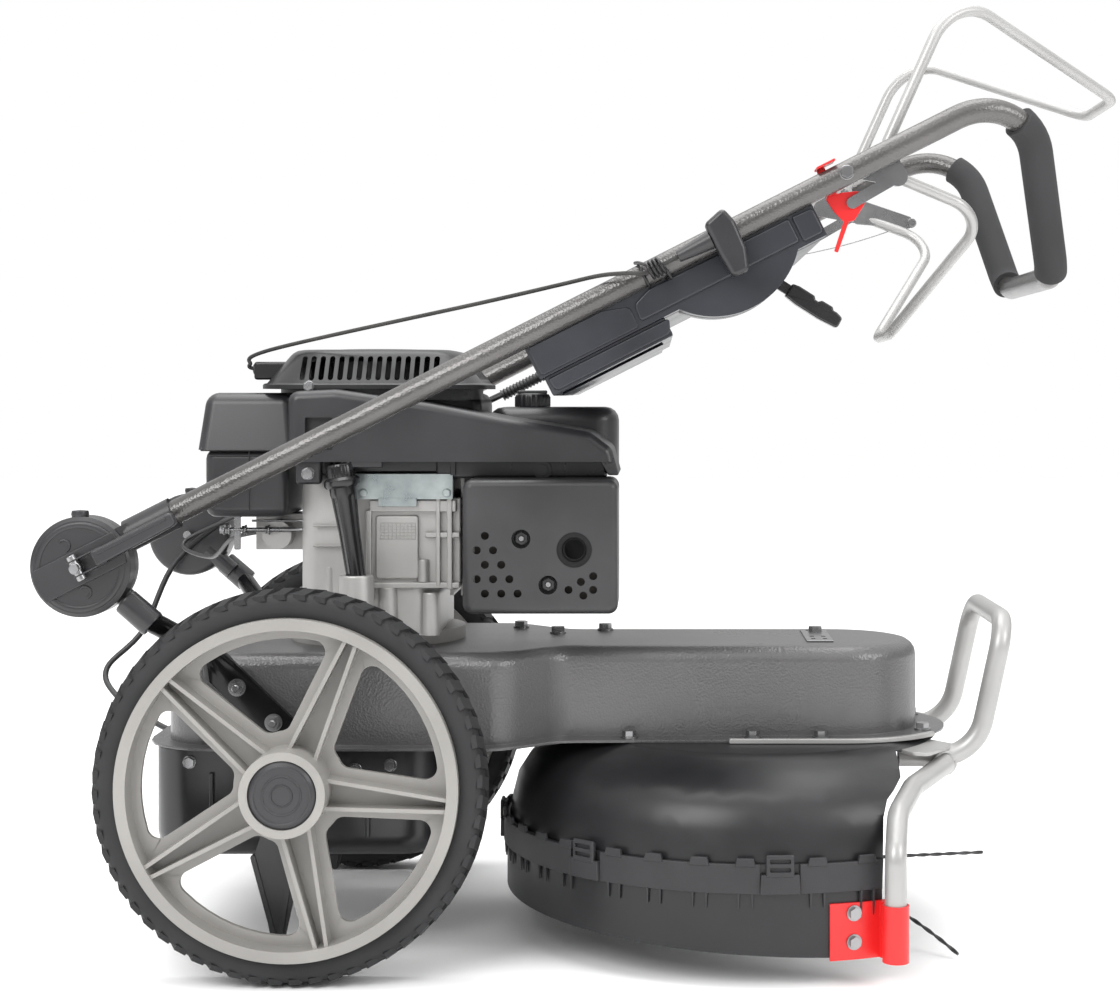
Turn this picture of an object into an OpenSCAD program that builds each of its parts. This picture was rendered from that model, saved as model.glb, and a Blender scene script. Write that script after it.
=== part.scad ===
// Wheeled string trimmer with its handlebar folded forward over the engine.
// Frame: origin on the floor under the cutting spindle, +X forward, +Y to the machine's left, +Z up.

/* [Layout] */
// Spindle axis back to the wheel axle
axle_back = 482; // [470:1:495]
// Spindle axis back to the engine crankshaft
crank_back = 428; // [424:1:432]
// Height of the deck's flat top above the floor
deck_top_z = 320; // [314:1:326]
// Height of the deck from its flange to its top
deck_depth = 100; // [96:1:106]

/* [Wheels] */
// Outside diameter of a tyre
wheel_d = 400; // [390:1:404]
// Width of a tyre
tyre_w = 50; // [44:1:54]
// Radial thickness of a tyre
tyre_t = 28; // [24:1:32]
// Distance between the two wheels' middle planes
wheel_track = 510; // [504:1:520]
// How far the rim stands out past the tyre's side
rim_lip = 9; // [6:1:12]
// Radial thickness of the rim's band
rim_t = 12; // [9:1:14]
// Radius of the hub
hub_r = 43; // [40:1:46]
// How far the hub's outer face stands out past the tyre's side
hub_out = 30; // [26:1:34]
// Radius of the hub cap
hub_cap_r = 34; // [30:1:36]
// Diameter of the wheel axle
axle_d = 20; // [18:1:22]
// Number of twin spokes
spoke_count = 5; // [4:1:6]
// Angle of the first spoke above the forward direction
spoke_turn = 66.5; // [50:0.5:80]
// Distance between a spoke's two ribs at the hub
spoke_hub_gap = 29; // [26:1:32]
// Distance between a spoke's two ribs at the rim
spoke_rim_gap = 11; // [9:1:14]
// Thickness of a spoke rib
spoke_rib_t = 4; // [3:0.5:5]
// Web left beside a spoke's ribs
spoke_margin = 13; // [11:1:15]
// Corner radius of the wheel's windows
window_r = 12; // [8:1:14]

/* [Deck] */
// Thickness of the deck's sheet
deck_t = 3; // [2.5:0.1:4]
// Half width of the deck at the engine
deck_rear_hw = 155; // [152:1:158]
// Half width of the deck's nose
deck_nose_hw = 92; // [88:1:96]
// Spindle axis back to the deck's rear wall
deck_rear_back = 641; // [635:1:648]
// Spindle axis forward to the centre of the nose's round end
nose_centre_x = 90; // [84:1:96]
// Radius of the deck's rear corners
deck_corner_r = 60; // [40:1:65]
// Radius of the deck's top edge
deck_fillet = 18; // [12:1:22]
// Flange width along the engine end
flange_rear_w = 20; // [18:1:23]
// Flange width along the nose
flange_nose_w = 32; // [29:1:35]

/* [Guard] */
// Outside radius of the guard's wall
guard_r = 278; // [276:1:280]
// Thickness of the guard's wall
guard_t = 3; // [2.5:0.1:3.5]
// Height of the skirt's lower edge at the back
skirt_z = 48; // [44:1:54]
// Height of the skirt's upper edge
skirt_top_z = 126; // [124:1:130]
// Height of the strap's lower edge
strap_z = 98; // [95:1:101]
// Height of the strap's band
strap_h = 26; // [24:1:28]
// Thickness of the strap
strap_t = 3.5; // [3:0.1:4]
// Number of tabs along the strap
strap_tabs = 25; // [15:1:30]
// Spindle axis forward to the guard's front edge
guard_front_x = 116; // [112:1:118]

/* [Bumper] */
// Diameter of the bumper tube
bumper_d = 22; // [20:1:24]
// Half width of the bumper's front loop
bumper_hw = 108; // [100:1:114]
// Spindle axis forward to the bumper's side legs
bumper_leg_x = 127; // [125:1:129]
// Middle of the machine out to the bumper's side legs
bumper_leg_y = 279; // [278:1:282]
// Height of the bumper's side legs' lower ends
bumper_foot_z = 28; // [24:1:32]
// Height of the bumper's top bar
bumper_top_z = 350; // [335:1:360]

/* [Handle] */
// Spindle axis back to the fold axis
fold_back = 695.5; // [692:0.5:700]
// Height of the fold axis
fold_z = 421; // [418:1:424]
// Angle of the folded handle above the forward direction
handle_rise = 26.8; // [26:0.1:28]
// Fold axis along the tube to the corner of the grips' upper bend
handle_len = 1080; // [1076:1:1084]
// Diameter of the handle tube
tube_d = 25; // [24:0.5:26]
// Wall of the handle tube
tube_t = 2; // [1.5:0.1:3]
// Middle of the machine out to a handle tube
tube_y = 239; // [238:1:242]
// Radius of a fold knuckle
knuckle_r = 51; // [49:1:53]
// Thickness of one knuckle half
knuckle_t = 20; // [18:1:21]
// Diameter of the foam grips
grip_d = 35; // [32:1:38]
// Diameter of the bail rods
bail_d = 12; // [10:1:13]
// Diameter of the lower bars
bar_d = 22; // [21:1:24]

/* [Console] */
// Fold axis along the tube to the console's lower end
console_u0 = 500; // [496:1:506]
// Fold axis along the tube to the console's upper end
console_u1 = 828; // [822:1:829]
// Depth of the console below the fold line
console_d = 40; // [37:1:43]
// Depth of the console's lower box below the fold line
console_box_d = 61; // [58:1:63]
// Radius of the shift quadrant
quadrant_r = 88; // [84:1:92]

/* [Engine] */
// Radius of the starter cover
starter_r = 127; // [120:1:128]
// Height of the starter cover's top
starter_top_z = 645; // [640:1:648]
// Height of the cowl's lower edge
cowl_z = 524; // [522:1:526]
// Height of the cowl's top
cowl_top_z = 582; // [579:1:584]
// Half width of the cowl
cowl_hw = 140; // [136:1:143]
// Half width of the crankcase
case_hw = 100; // [97:1:102]
// Height of the crankcase's top
case_top_z = 508; // [504:1:510]
// Radius of the crankshaft
crank_r = 12.5; // [11:0.5:14]

/* [Cutting head] */
// Height of the cutting line
line_z = 62; // [60:1:66]
// Diameter of the cutting line
line_d = 4; // [3:0.5:5]
// Length of each line end past the head's side
line_len = 204; // [180:1:206]
// Radius of the trimmer head
head_r = 64; // [58:1:66]
// Height of the trimmer head
head_h = 34; // [30:1:38]
// Radius of the skid dish
dish_r = 78; // [66:1:84]
// Radius of the skid dish's flat pad
pad_r = 30; // [20:1:34]
// Radius of the cutting spindle
spindle_r = 12.5; // [11:0.5:14]

/* [Belts] */
// Pitch radius of the crank pulley's upper groove
crank_pulley_r = 36; // [32:1:38]
// Pitch radius of the spindle pulley
spindle_pulley_r = 54; // [48:1:58]
// Pitch radius of the crank pulley's lower groove
drive_pulley_r = 28; // [26:1:30]
// Pitch radius of the gearbox pulley
gearbox_pulley_r = 56; // [50:1:58]
// Thickness of a belt
belt_t = 8; // [6:0.5:9]
// Width of a belt
belt_w = 10; // [8:0.5:12]

/* [Fits] */
// Clearance between pieces of different bodies
gap = 0.3; // [0.2:0.05:0.4]
// Radial running clearance of a shaft in its bore
run = 0.05; // [0.02:0.01:0.08]

/* [Hidden] */
$fn = 64;

// Heights and radii that follow from the driving dimensions
flange_z = deck_top_z - deck_depth;
axle_z = wheel_d / 2;
tyre_in_r = wheel_d / 2 - tyre_t;
wheel_y = wheel_track / 2;
hub_face = tyre_w / 2 + hub_out;
rim_face = tyre_w / 2 + rim_lip;
fold = [-fold_back, 0, fold_z];
tube_v = 7;

// Arc points about c, from angle a0 to a1 in n steps
function arc(c, r, a0, a1, n) = [for (i = [0:n]) let(a = a0 + (a1 - a0) * i / n) c + r * [cos(a), sin(a)]];
function unit(v) = v / norm(v);

// Half outline of a rounded rectangle about the X axis, from x0 to x1, grown by g
function rounded_half(x0, x1, hw, r, g = 0) = concat(
    arc([x0 + r, hw - r], r + g, 180, 90, 5), arc([x1 - r, hw - r], r + g, 90, 0, 5));
// Whole outline from a half outline
function whole(h) = concat(h, [for (i = [len(h) - 1:-1:0]) [h[i].x, -h[i].y]]);
// Layers of a rounded top edge of radius f, from z0 up to z1; each is [height, growth]
function domed(z0, z1, f, g = 0) = concat([[z0, g]],
    [for (j = [0:4]) [z1 - f + f * sin(22.5 * j), g - f * (1 - cos(22.5 * j))]]);

// Solid through layers of mirrored half outlines: each layer is [height, half outline]
module loft(layers) {
    n = len(layers[0][1]);
    m = 2 * n;
    top = len(layers) - 1;
    points = [for (l = layers) for (p = whole(l[1])) [p.x, p.y, l[0]]];
    walls = [for (k = [0:top - 1]) for (i = [0:m - 1]) let(a = k * m + i, b = k * m + (i + 1) % m)
        each [[a, b, b + m], [a, b + m, a + m]]];
    cap = [for (i = [0:n - 2]) each [[i, i + 1, m - i - 2], [i, m - i - 2, m - i - 1]]];
    polyhedron(points, concat(walls, [for (f = cap) [f[2], f[1], f[0]]],
        [for (f = cap) [for (i = f) i + top * m]]));
}

// Block with rounded upright corners r and a rounded top edge f
module soft_block(x0, x1, hw, z0, z1, r, f, g = 0) {
    loft([for (l = domed(z0, z1, f)) [l[0], rounded_half(x0, x1, hw, r, l[1] + g)]]);
}

// Round rod from a to b
module rod(a, b, r) {
    d = b - a;
    translate(a) rotate([0, acos(d.z / norm(d)), atan2(d.y, d.x)]) cylinder(h = norm(d), r = r);
}

function turn_at(p, i) = acos(unit(p[i] - p[i - 1]) * unit(p[i + 1] - p[i]));
function setback(p, i, bend) = i == 0 || i == len(p) - 1 ? 0 : bend[i - 1] * tan(turn_at(p, i) / 2);

// Centre line through points p with a round bend at each inner point
function bent(p, bend, steps = 8) = concat([p[0]], [for (i = [1:len(p) - 2])
    let(a = unit(p[i] - p[i - 1]), b = unit(p[i + 1] - p[i]), side = unit(b - a * (a * b)),
        q = turn_at(p, i),
        c = p[i] - a * setback(p, i, bend) + side * bend[i - 1])
    for (j = [0:steps]) c + bend[i - 1] * (sin(q * j / steps) * a - cos(q * j / steps) * side)],
        [p[len(p) - 1]]);
function heading(p, i) = unit(p[min(i + 1, len(p) - 1)] - p[max(i - 1, 0)]);
// Side directions along the line p, turned no more than the line itself turns
function sides_of(p, s, i = 0) = i == len(p) ? [] : let(t = heading(p, i), q = unit(s - t * (s * t)))
    concat([q], sides_of(p, q, i + 1));

// Smooth run of points through the hand-placed points p, n steps to each stretch
function spline(p, n) = concat([for (i = [0:len(p) - 2]) for (j = [0:n - 1])
    let(t = j / n, a = p[max(i - 1, 0)], b = p[i], c = p[i + 1], d = p[min(i + 2, len(p) - 1)])
    0.5 * (2 * b + (c - a) * t + (2 * a - 5 * b + 4 * c - d) * t * t + (3 * b - a - 3 * c + d) * t * t * t)],
    [p[len(p) - 1]]);

// Round section swept along the points p; ribs narrows every other pair of rings by that much
module sweep(p, r, ribs = 0, sides = 8) {
    last = len(p) - 1;
    t0 = heading(p, 0);
    s0 = sides_of(p, abs(t0.z) < 0.9 ? cross(t0, [0, 0, 1]) : cross(t0, [0, 1, 0]));
    rings = [for (i = [0:last]) let(u = cross(s0[i], heading(p, i)), q = r - (i % 4 < 2 ? 0 : ribs))
        for (k = [0:sides - 1]) p[i] + q * (cos(360 * k / sides) * s0[i] + sin(360 * k / sides) * u)];
    walls = [for (i = [0:last - 1]) for (k = [0:sides - 1])
        let(a = i * sides + k, b = i * sides + (k + 1) % sides)
        each [[a, b, b + sides], [a, b + sides, a + sides]]];
    ends = [for (k = [1:sides - 2]) each [[0, k + 1, k],
        [last * sides, last * sides + k, last * sides + k + 1]]];
    polyhedron(rings, concat(walls, ends));
}

// Hollow tube along the points p; ribs narrows every other pair of rings by that much
module pipe(p, r, bore, ribs = 0, sides = 16) {
    n = len(p);
    t0 = heading(p, 0);
    s0 = sides_of(p, abs(t0.z) < 0.9 ? cross(t0, [0, 0, 1]) : cross(t0, [0, 1, 0]));
    function ring(i, q) = let(u = cross(s0[i], heading(p, i)))
        [for (k = [0:sides - 1]) p[i] + q * (cos(360 * k / sides) * s0[i] + sin(360 * k / sides) * u)];
    rings = concat([for (i = [0:n - 1]) each ring(i, r - (i % 4 < 2 ? 0 : ribs))],
        [for (i = [n - 1:-1:0]) each ring(i, bore)]);
    m = len(rings);
    polyhedron(rings, [for (i = [0:2 * n - 1]) for (k = [0:sides - 1])
        let(a = i * sides + k, b = i * sides + (k + 1) % sides)
        each [[a, b, (b + sides) % m], [a, (b + sides) % m, (a + sides) % m]]]);
}

// Bent rod through points p with a bend radius at each inner point
module bent_rod(p, bend, r, sides = 16) {
    sweep(bent(p, bend), r, 0, sides);
}

// The same piece on the right side and, mirrored, on the left
module both_sides() {
    children();
    mirror([0, 1, 0]) children();
}

// Frame of the folded handle: x along the tubes from the fold axis, z square to them
module on_handle() {
    translate(fold) rotate([0, -handle_rise, 0]) children();
}
function handle_point(u, y, v) = fold + [u * cos(handle_rise) - v * sin(handle_rise), y,
    u * sin(handle_rise) + v * cos(handle_rise)];

// Flanged hex nut, its seat at z = 0
module nut(across = 13, h = 8) {
    cylinder(h = 2, r = across * 0.72);
    cylinder(h = h, r = across / sqrt(3), $fn = 6);
}

// Deck

function deck_half(g_rear, g_nose) = let(x1 = -crank_back + 138, x2 = x1 + 90)
    concat(arc([-deck_rear_back + deck_corner_r, deck_rear_hw - deck_corner_r], deck_corner_r + g_rear,
        180, 90, 6),
    [for (i = [0:6]) let(s = (1 - cos(30 * i)) / 2) [x1 + (x2 - x1) * i / 6,
        deck_rear_hw + g_rear + (deck_nose_hw + g_nose - deck_rear_hw - g_rear) * s]],
    arc([nose_centre_x, 0], deck_nose_hw + g_nose, 90, 4.5, 10));
ear_in = deck_rear_hw - deck_t - 6;
bush_r = axle_d / 2 + 7;
crank_hole_r = 50;

// Plate that hangs from the deck's side and carries an axle bush
module axle_ear() {
    translate([-axle_back, -ear_in - 0.1, axle_z]) rotate([90, 0, 0]) linear_extrude(6.5) difference() {
        hull() {
            circle(bush_r + 9);
            translate([-40, flange_z + 40 - axle_z]) square([80, 4]);
        }
        circle(bush_r);
    }
}

module deck_shell() {
    color("#4a4744") difference() {
        union() {
            difference() {
                loft([for (l = domed(flange_z, deck_top_z, deck_fillet)) [l[0], deck_half(l[1], l[1])]]);
                loft([for (l = domed(flange_z - 1, deck_top_z - deck_t, deck_fillet - deck_t, -deck_t))
                    [l[0], deck_half(l[1], l[1])]]);
            }
            translate([0, 0, flange_z]) linear_extrude(deck_t) difference() {
                polygon(whole(deck_half(flange_rear_w, flange_nose_w)));
                polygon(whole(deck_half(-deck_t / 2, -deck_t / 2)));
            }
            both_sides() axle_ear();
        }
        translate([-crank_back, 0, 0]) cylinder(h = 2 * deck_top_z, r = crank_hole_r);
    }
}

// Guard, skirt and strap round the back and sides of the cutting circle

guard_top = flange_z;
housing_r = 36;
skirt_r = guard_r + gap;
strap_r = skirt_r + guard_t + gap;

// Region in front of the guard, cut away over its whole width
module guard_mouth() {
    x = guard_front_x;
    rotate([90, 0, 0]) linear_extrude(1000, center = true)
        polygon([[x, -10], [x, 95], [x + 3, 165], [x + 8, 180], [x + 26, 197],
            [x + 27, flange_z - guard_t - 1.4],
            [500, flange_z - guard_t - 1.4], [500, -10]]);
}

module debris_guard() {
    outer = [[housing_r + 0.5, 0], [188, 0], [206, -5], [232, -16], [256, -32], [guard_r - 9, -52],
        [guard_r - 3, -76], [guard_r, -104], [guard_r, strap_z - guard_top]];
    inner = [for (i = [len(outer) - 1:-1:0]) let(p = outer[i])
        i < 2 ? [p.x, p.y - guard_t] : i > 5 ? [p.x - guard_t, p.y] : [p.x - guard_t * 0.6, p.y - guard_t]];
    color("#1c1c1d") difference() {
        translate([0, 0, guard_top]) rotate_extrude() polygon(concat(outer, inner));
        guard_mouth();
    }
}

module ring_wall(r, t, z0, z1) {
    translate([0, 0, z0]) rotate_extrude() translate([r, 0]) square([t, z1 - z0]);
}

module guard_skirt() {
    color("#161617") difference() {
        ring_wall(skirt_r, guard_t, bumper_foot_z - 2, skirt_top_z);
        guard_mouth();
        translate([0, 0, bumper_foot_z]) rotate([90, 0, 0]) linear_extrude(1000, center = true)
            polygon([[guard_front_x, 0], [-310, skirt_z - bumper_foot_z], [-310, -50],
                [guard_front_x, -50]]);
    }
}

// Angle of a strap tab, counted round the back from one side to the other
strap_a0 = 74;
strap_step = (360 - 2 * strap_a0) / (strap_tabs - 1);
function tab_angle(i) = strap_a0 + strap_step * i;
function buckle(i) = i % 6 == 3;
// Section of the strap at angle a, standing out by t, from height z0 to z1
function strap_at(a, t, z0, z1) = [for (q = [[0, z0], [strap_t + t, z0], [strap_t + t, z1], [0, z1]])
    [(strap_r + q.x) * cos(a), (strap_r + q.x) * sin(a), q.y]];

module skirt_strap() {
    end = acos((guard_front_x - 1) / strap_r);
    z1 = strap_z + strap_h;
    sections = concat([for (a = [end, (end + strap_a0) / 2])
        strap_at(a, 0, strap_z, z1)], [for (i = [0:strap_tabs - 1])
        let(a = tab_angle(i), w = buckle(i) ? 2.6 : 1.6, t = buckle(i) ? 6 : 2, b0 = buckle(i) ? -6 : 0,
            b1 = buckle(i) ? 10 : 8) each [strap_at(a - w - 0.1, 0, strap_z, z1),
            strap_at(a - w, t, strap_z + b0, z1 + b1), strap_at(a + w, t, strap_z + b0, z1 + b1),
            strap_at(a + w + 0.1, 0, strap_z, z1),
            strap_at(i == strap_tabs - 1 ? a + w + 2 : a + strap_step / 2, 0, strap_z, z1)]],
        [strap_at(360 - end, 0, strap_z, z1)]);
    n = len(sections) - 1;
    color("#202022") polyhedron([for (q = sections) each q], concat(
        [for (i = [0:n - 1]) for (k = [0:3]) let(a = 4 * i + k, b = 4 * i + (k + 1) % 4)
            each [[a, b + 4, b], [a, a + 4, b + 4]]],
        [[0, 1, 2], [0, 2, 3], [4 * n, 4 * n + 2, 4 * n + 1], [4 * n, 4 * n + 3, 4 * n + 2]]));
}

// Bumper and the red brackets at its feet

bumper_r = bumper_d / 2;
bracket_z1 = 85;
bracket_t = 3;
leg_path = [[200, -bumper_hw - 10, 197], [157, -180, 184], [bumper_leg_x + 6, -bumper_leg_y + 34, 168],
    [bumper_leg_x, -bumper_leg_y, 134], [bumper_leg_x, -bumper_leg_y, bumper_foot_z + 4]];
loop_path = [[150, -bumper_hw, 203], [234, -bumper_hw, 203], [266, -bumper_hw, bumper_top_z]];
function mirrored(p) = concat(p, [for (i = [len(p) - 1:-1:0]) [p[i].x, -p[i].y, p[i].z]]);

module bumper_bar() {
    color("#a9a9a6") {
        bent_rod(mirrored(loop_path), [50, 34, 34, 50], bumper_r);
        both_sides() bent_rod(leg_path, [40, 40, 24], bumper_r);
        // Plates that join the bar to the deck's flange
        both_sides() hull() {
            translate([170, -bumper_hw - 40, flange_z - guard_t - 5.5]) cylinder(h = 4, r = 10, $fn = 32);
            translate([150, -70, flange_z - guard_t - 5.5]) cylinder(h = 4, r = 24, $fn = 32);
            translate([205, -bumper_hw + 4, flange_z - guard_t - 5.5]) cylinder(h = 4, r = 8, $fn = 32);
        }
    }
}

module guard_brackets() {
    a = atan2(-bumper_leg_y, bumper_leg_x);
    far = norm([bumper_leg_x, bumper_leg_y]);
    color("#a3161a") both_sides() difference() {
        translate([0, 0, bumper_foot_z]) linear_extrude(bracket_z1 - bumper_foot_z) {
            intersection() {
                difference() {
                    circle(strap_r + bracket_t);
                    circle(strap_r);
                }
                polygon([[0, 0], 400 * [cos(a + 1), sin(a + 1)], 400 * [cos(a - 12), sin(a - 12)]]);
            }
            rotate(a) translate([strap_r + 1, -6]) square([far - strap_r - 1, 8]);
            translate([bumper_leg_x, -bumper_leg_y]) circle(bumper_r + 2.5);
        }
        translate([bumper_leg_x, -bumper_leg_y, bumper_foot_z + 3]) cylinder(h = 100, r = bumper_r + 0.3);
    }
}

// Drive to the wheels

cover_hw = deck_rear_hw + 9;
cover_x0 = -axle_back - 166;
cover_x1 = -axle_back + 138;
cover_h = 116;
cover_t = 3;
cover_corner = 40;
cover_round = 26;
module transmission_cover() {
    z1 = flange_z;
    z0 = z1 - cover_h;
    color("#1d1d1e") difference() {
        translate([0, 0, z0 + z1]) mirror([0, 0, 1])
            soft_block(cover_x0, cover_x1, cover_hw, z0, z1, cover_corner, cover_round);
        translate([0, 0, z0 + z1 + cover_t]) mirror([0, 0, 1])
            soft_block(cover_x0, cover_x1, cover_hw, z0 - 10, z1, cover_corner, cover_round - cover_t,
                -cover_t);
        translate([-axle_back, 0, axle_z]) rotate([90, 0, 0])
            cylinder(h = 4 * cover_hw, r = axle_d / 2 + 8, center = true);
    }
}

drive_pulley_z = 248;
trim_pulley_z = 284;
gear_x = -crank_back - 128;
gear_top = drive_pulley_z - 14;

module gearbox_housing() {
    color("#55585a") difference() {
        union() {
            soft_block(gear_x - 36, -axle_back + 44, 58, axle_z - 48, gear_top, 20, 8);
            translate([-axle_back, 0, axle_z]) rotate([90, 0, 0])
                cylinder(h = 190, r = axle_d / 2 + 12, center = true);
            // Ledges that hang the gearbox from the deck's ears
            both_sides() translate([-axle_back - 24, -ear_in, axle_z + 30]) cube([48, ear_in - 50, 10]);
        }
        translate([-axle_back, 0, axle_z]) rotate([90, 0, 0])
            cylinder(h = 500, r = axle_d / 2 + 0.1, center = true);
        translate([gear_x, 0, axle_z]) cylinder(h = 200, r = 8 + run);
    }
}

module axle_shaft() {
    color("#8d9093") translate([-axle_back, 0, axle_z]) rotate([90, 0, 0])
        cylinder(h = 2 * (wheel_y + hub_face - 16), r = axle_d / 2, center = true);
}

bearing_h = 15;
bearing_r = 26;
module bearings() {
    color("#b4b6b8") {
        both_sides() translate([-axle_back, -ear_in - 0.1, axle_z]) rotate([90, 0, 0]) difference() {
            cylinder(h = 6.5, r = bush_r - 0.05);
            cylinder(h = 20, r = axle_d / 2 + run, center = true);
        }
        for (z = spindle_bearing_z) translate([0, 0, z]) difference() {
            cylinder(h = bearing_h, r = bearing_r - 0.05);
            cylinder(h = 40, r = spindle_r + run, center = true);
        }
    }
}

// Skid plates behind the wheels
skid_y = cover_hw + 22;
skid_t = 4;
skid_top_r = 20;
skid_waist = [-50, axle_z - 88];
skid_waist_w = 46;
skid_foot = [-26, 16];
skid_rib_w = 10;
skid_rib_r = 2.5;
module rear_skids() {
    color("#19191a") both_sides() {
        translate([-axle_back, -skid_y, 0]) rotate([90, 0, 0]) linear_extrude(skid_t) difference() {
            hull() {
                translate(skid_waist) square([skid_waist_w, skid_t]);
                translate([-2, axle_z - 4]) circle(skid_top_r);
                translate(skid_foot) circle(2 * skid_rib_r);
            }
            translate([0, axle_z]) circle(axle_d / 2 + 0.1);
        }
        for (x = [0, skid_waist_w - skid_t]) translate([-axle_back, skid_t - skid_y, 0]) rotate([90, 0, 0])
            linear_extrude(skid_rib_w) hull() {
                translate(skid_waist + [x - 2, 0]) circle(skid_rib_r, $fn = 24);
                translate(skid_foot) circle(skid_rib_r, $fn = 24);
            }
        translate([-axle_back, -skid_y, axle_z]) rotate([-90, 0, 0]) difference() {
            cylinder(h = skid_y - cover_hw - gap, r = skid_top_r - 2);
            cylinder(h = 100, r = axle_d / 2 + 0.1, center = true);
        }
    }
}

// Lower bars and fold knuckles

bar_r = bar_d / 2;
bar_fall = 41;
function bar_point(u, y) = fold + [u * cos(bar_fall), -y, -u * sin(bar_fall)];
// Bar from the fold knuckle down to its flattened end on the deck's side
bar_drop = 12;
bar_bend_u = knuckle_r + 33;
bar_end_u = knuckle_r + 99;
bar_plate_y = deck_rear_hw + 0.1;
bar_plate_t = 8;
bar_plate_r = 17;
bar_plate_a = [bar_point(bar_end_u + 8, 0).x, bar_point(bar_end_u + 8, 0).z - bar_drop];
bar_plate_b = bar_plate_a + 94 * [cos(bar_fall + 3), -sin(bar_fall + 3)];
bar_bolts = [for (t = [0.3, 0.87]) bar_plate_a + t * (bar_plate_b - bar_plate_a)];
bar_tube_y = bar_plate_y + bar_r + 2;

module lower_bars() {
    start = bar_point(bar_end_u - 4, bar_tube_y);
    color("#222223") both_sides() {
        bent_rod([bar_point(knuckle_r + 4, tube_y), bar_point(bar_bend_u, tube_y),
            bar_point(bar_end_u, bar_tube_y)], [24], bar_r);
        hull() {
            rod(start, bar_point(bar_end_u, bar_tube_y), bar_r, $fn = 32);
            translate([bar_plate_a.x, -bar_plate_y, bar_plate_a.y]) rotate([90, 0, 0])
                cylinder(h = bar_plate_t, r = bar_plate_r, $fn = 32);
        }
        translate([0, -bar_plate_y, 0]) rotate([90, 0, 0]) linear_extrude(bar_plate_t) hull() {
            translate(bar_plate_a) circle(bar_plate_r - 0.5);
            translate(bar_plate_b) circle(bar_plate_r - 0.5);
        }
    }
}

module knuckle_disc(t) {
    cylinder(h = t - 3, r = knuckle_r);
    translate([0, 0, t - 3]) cylinder(h = 3, r1 = knuckle_r, r2 = knuckle_r - 4);
}

knuckle_bolt_r = 5;
module knuckle_bases() {
    color("#1b1b1c") both_sides() difference() {
        union() {
            translate(fold + [0, -tube_y + 0.2, 0]) rotate([-90, 0, 0]) knuckle_disc(knuckle_t - 0.2);
            rod(bar_point(30, tube_y - 11), bar_point(knuckle_r + 14, tube_y - 11), 9);
            rod(bar_point(knuckle_r + 3, tube_y), bar_point(bar_bend_u - 11, tube_y), bar_r + 6);
        }
        rod(bar_point(knuckle_r + 4, tube_y), bar_point(bar_bend_u, tube_y), bar_r + 0.1);
        translate(fold) rotate([90, 0, 0]) cylinder(h = 900, r = knuckle_bolt_r + run, center = true);
    }
}

module knuckle_caps() {
    color("#1f1f20") both_sides() difference() {
        union() {
            translate(fold + [0, -tube_y - 0.2, 0]) rotate([90, 0, 0]) knuckle_disc(knuckle_t - 0.2);
            on_handle() {
                translate([-34, -tube_y - knuckle_t - 3, -13]) cube([70, 6, 26]);
                difference() {
                    translate([knuckle_r + 3, -tube_y, tube_v]) rotate([0, 90, 0])
                        cylinder(h = 52, r = tube_d / 2 + 4);
                    translate([0, -tube_y, tube_v]) rotate([0, 90, 0])
                        cylinder(h = 300, r = tube_d / 2 + 0.1);
                }
                translate([30, -tube_y - 15, tube_v - 12]) cube([knuckle_r - 20, 12, 24]);
            }
        }
        on_handle() translate([knuckle_r + 5, -tube_y, tube_v]) rotate([0, 90, 0])
            cylinder(h = 300, r = tube_d / 2 + 0.1);
        translate(fold) rotate([90, 0, 0]) cylinder(h = 900, r = knuckle_bolt_r + run, center = true);
    }
}

// Handlebar, grips and what they carry

tube_r = tube_d / 2;
bar_end_x = 312;
handle_path = [handle_point(knuckle_r + 6, -tube_y, tube_v), handle_point(handle_len, -tube_y, tube_v),
    [bar_end_x, -135, 722]];
handle_whole = mirrored(handle_path);
handle_bends = [65, 40, 40, 65];
bend_steps = 8;

module handlebar() {
    color("#4d4a46") pipe(bent(handle_whole, handle_bends, bend_steps), tube_r, tube_r - tube_t);
}

// Foam sleeve from the upper bend down into the lower one
module foam_grips() {
    line = bent(handle_whole, handle_bends, bend_steps);
    g = [for (i = [6:bend_steps + 5]) line[i]];
    n = len(g) - 1;
    past = concat([2 * g[0] - g[1]], g, [2 * g[n] - g[n - 1]]);
    color("#1a1a1b") both_sides() difference() {
        sweep(g, grip_d / 2, 0, 16);
        sweep(past, tube_r + 0.4, 0, 16);
    }
}

console_hw = tube_y + 1;
quadrant = [727, 16];
quadrant_y = [-console_hw, -150];

module tube_groove() {
    both_sides() on_handle() translate([400, -tube_y, tube_v]) rotate([0, 90, 0])
        cylinder(h = 600, r = tube_r + 0.1);
}

// Axis that the shift lever turns on, behind the right tube
pivot_v = 2;
pivot_r = 5;
slot_w = 14;
cheek_t = 5;
console_t = 3;
module across_slot(w, r) {
    translate([quadrant.x, lever_y, pivot_v]) rotate([90, 0, 0]) cylinder(h = w, r = r, center = true);
}

// Outside of the console, drawn in by inset
module console_form(inset, lift) {
    translate([console_u0 + inset, inset - console_hw, inset - console_d])
        cube([console_u1 - console_u0 - 2 * inset, 2 * (console_hw - inset), console_d + lift]);
    intersection() {
        translate([quadrant.x, quadrant_y[0] + inset, quadrant.y]) rotate([-90, 0, 0])
            cylinder(h = quadrant_y[1] - quadrant_y[0] - 2 * inset, r = quadrant_r - inset);
        translate([console_u0, -300, -200]) cube([console_u1 - console_u0, 400, 190]);
    }
}

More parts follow.
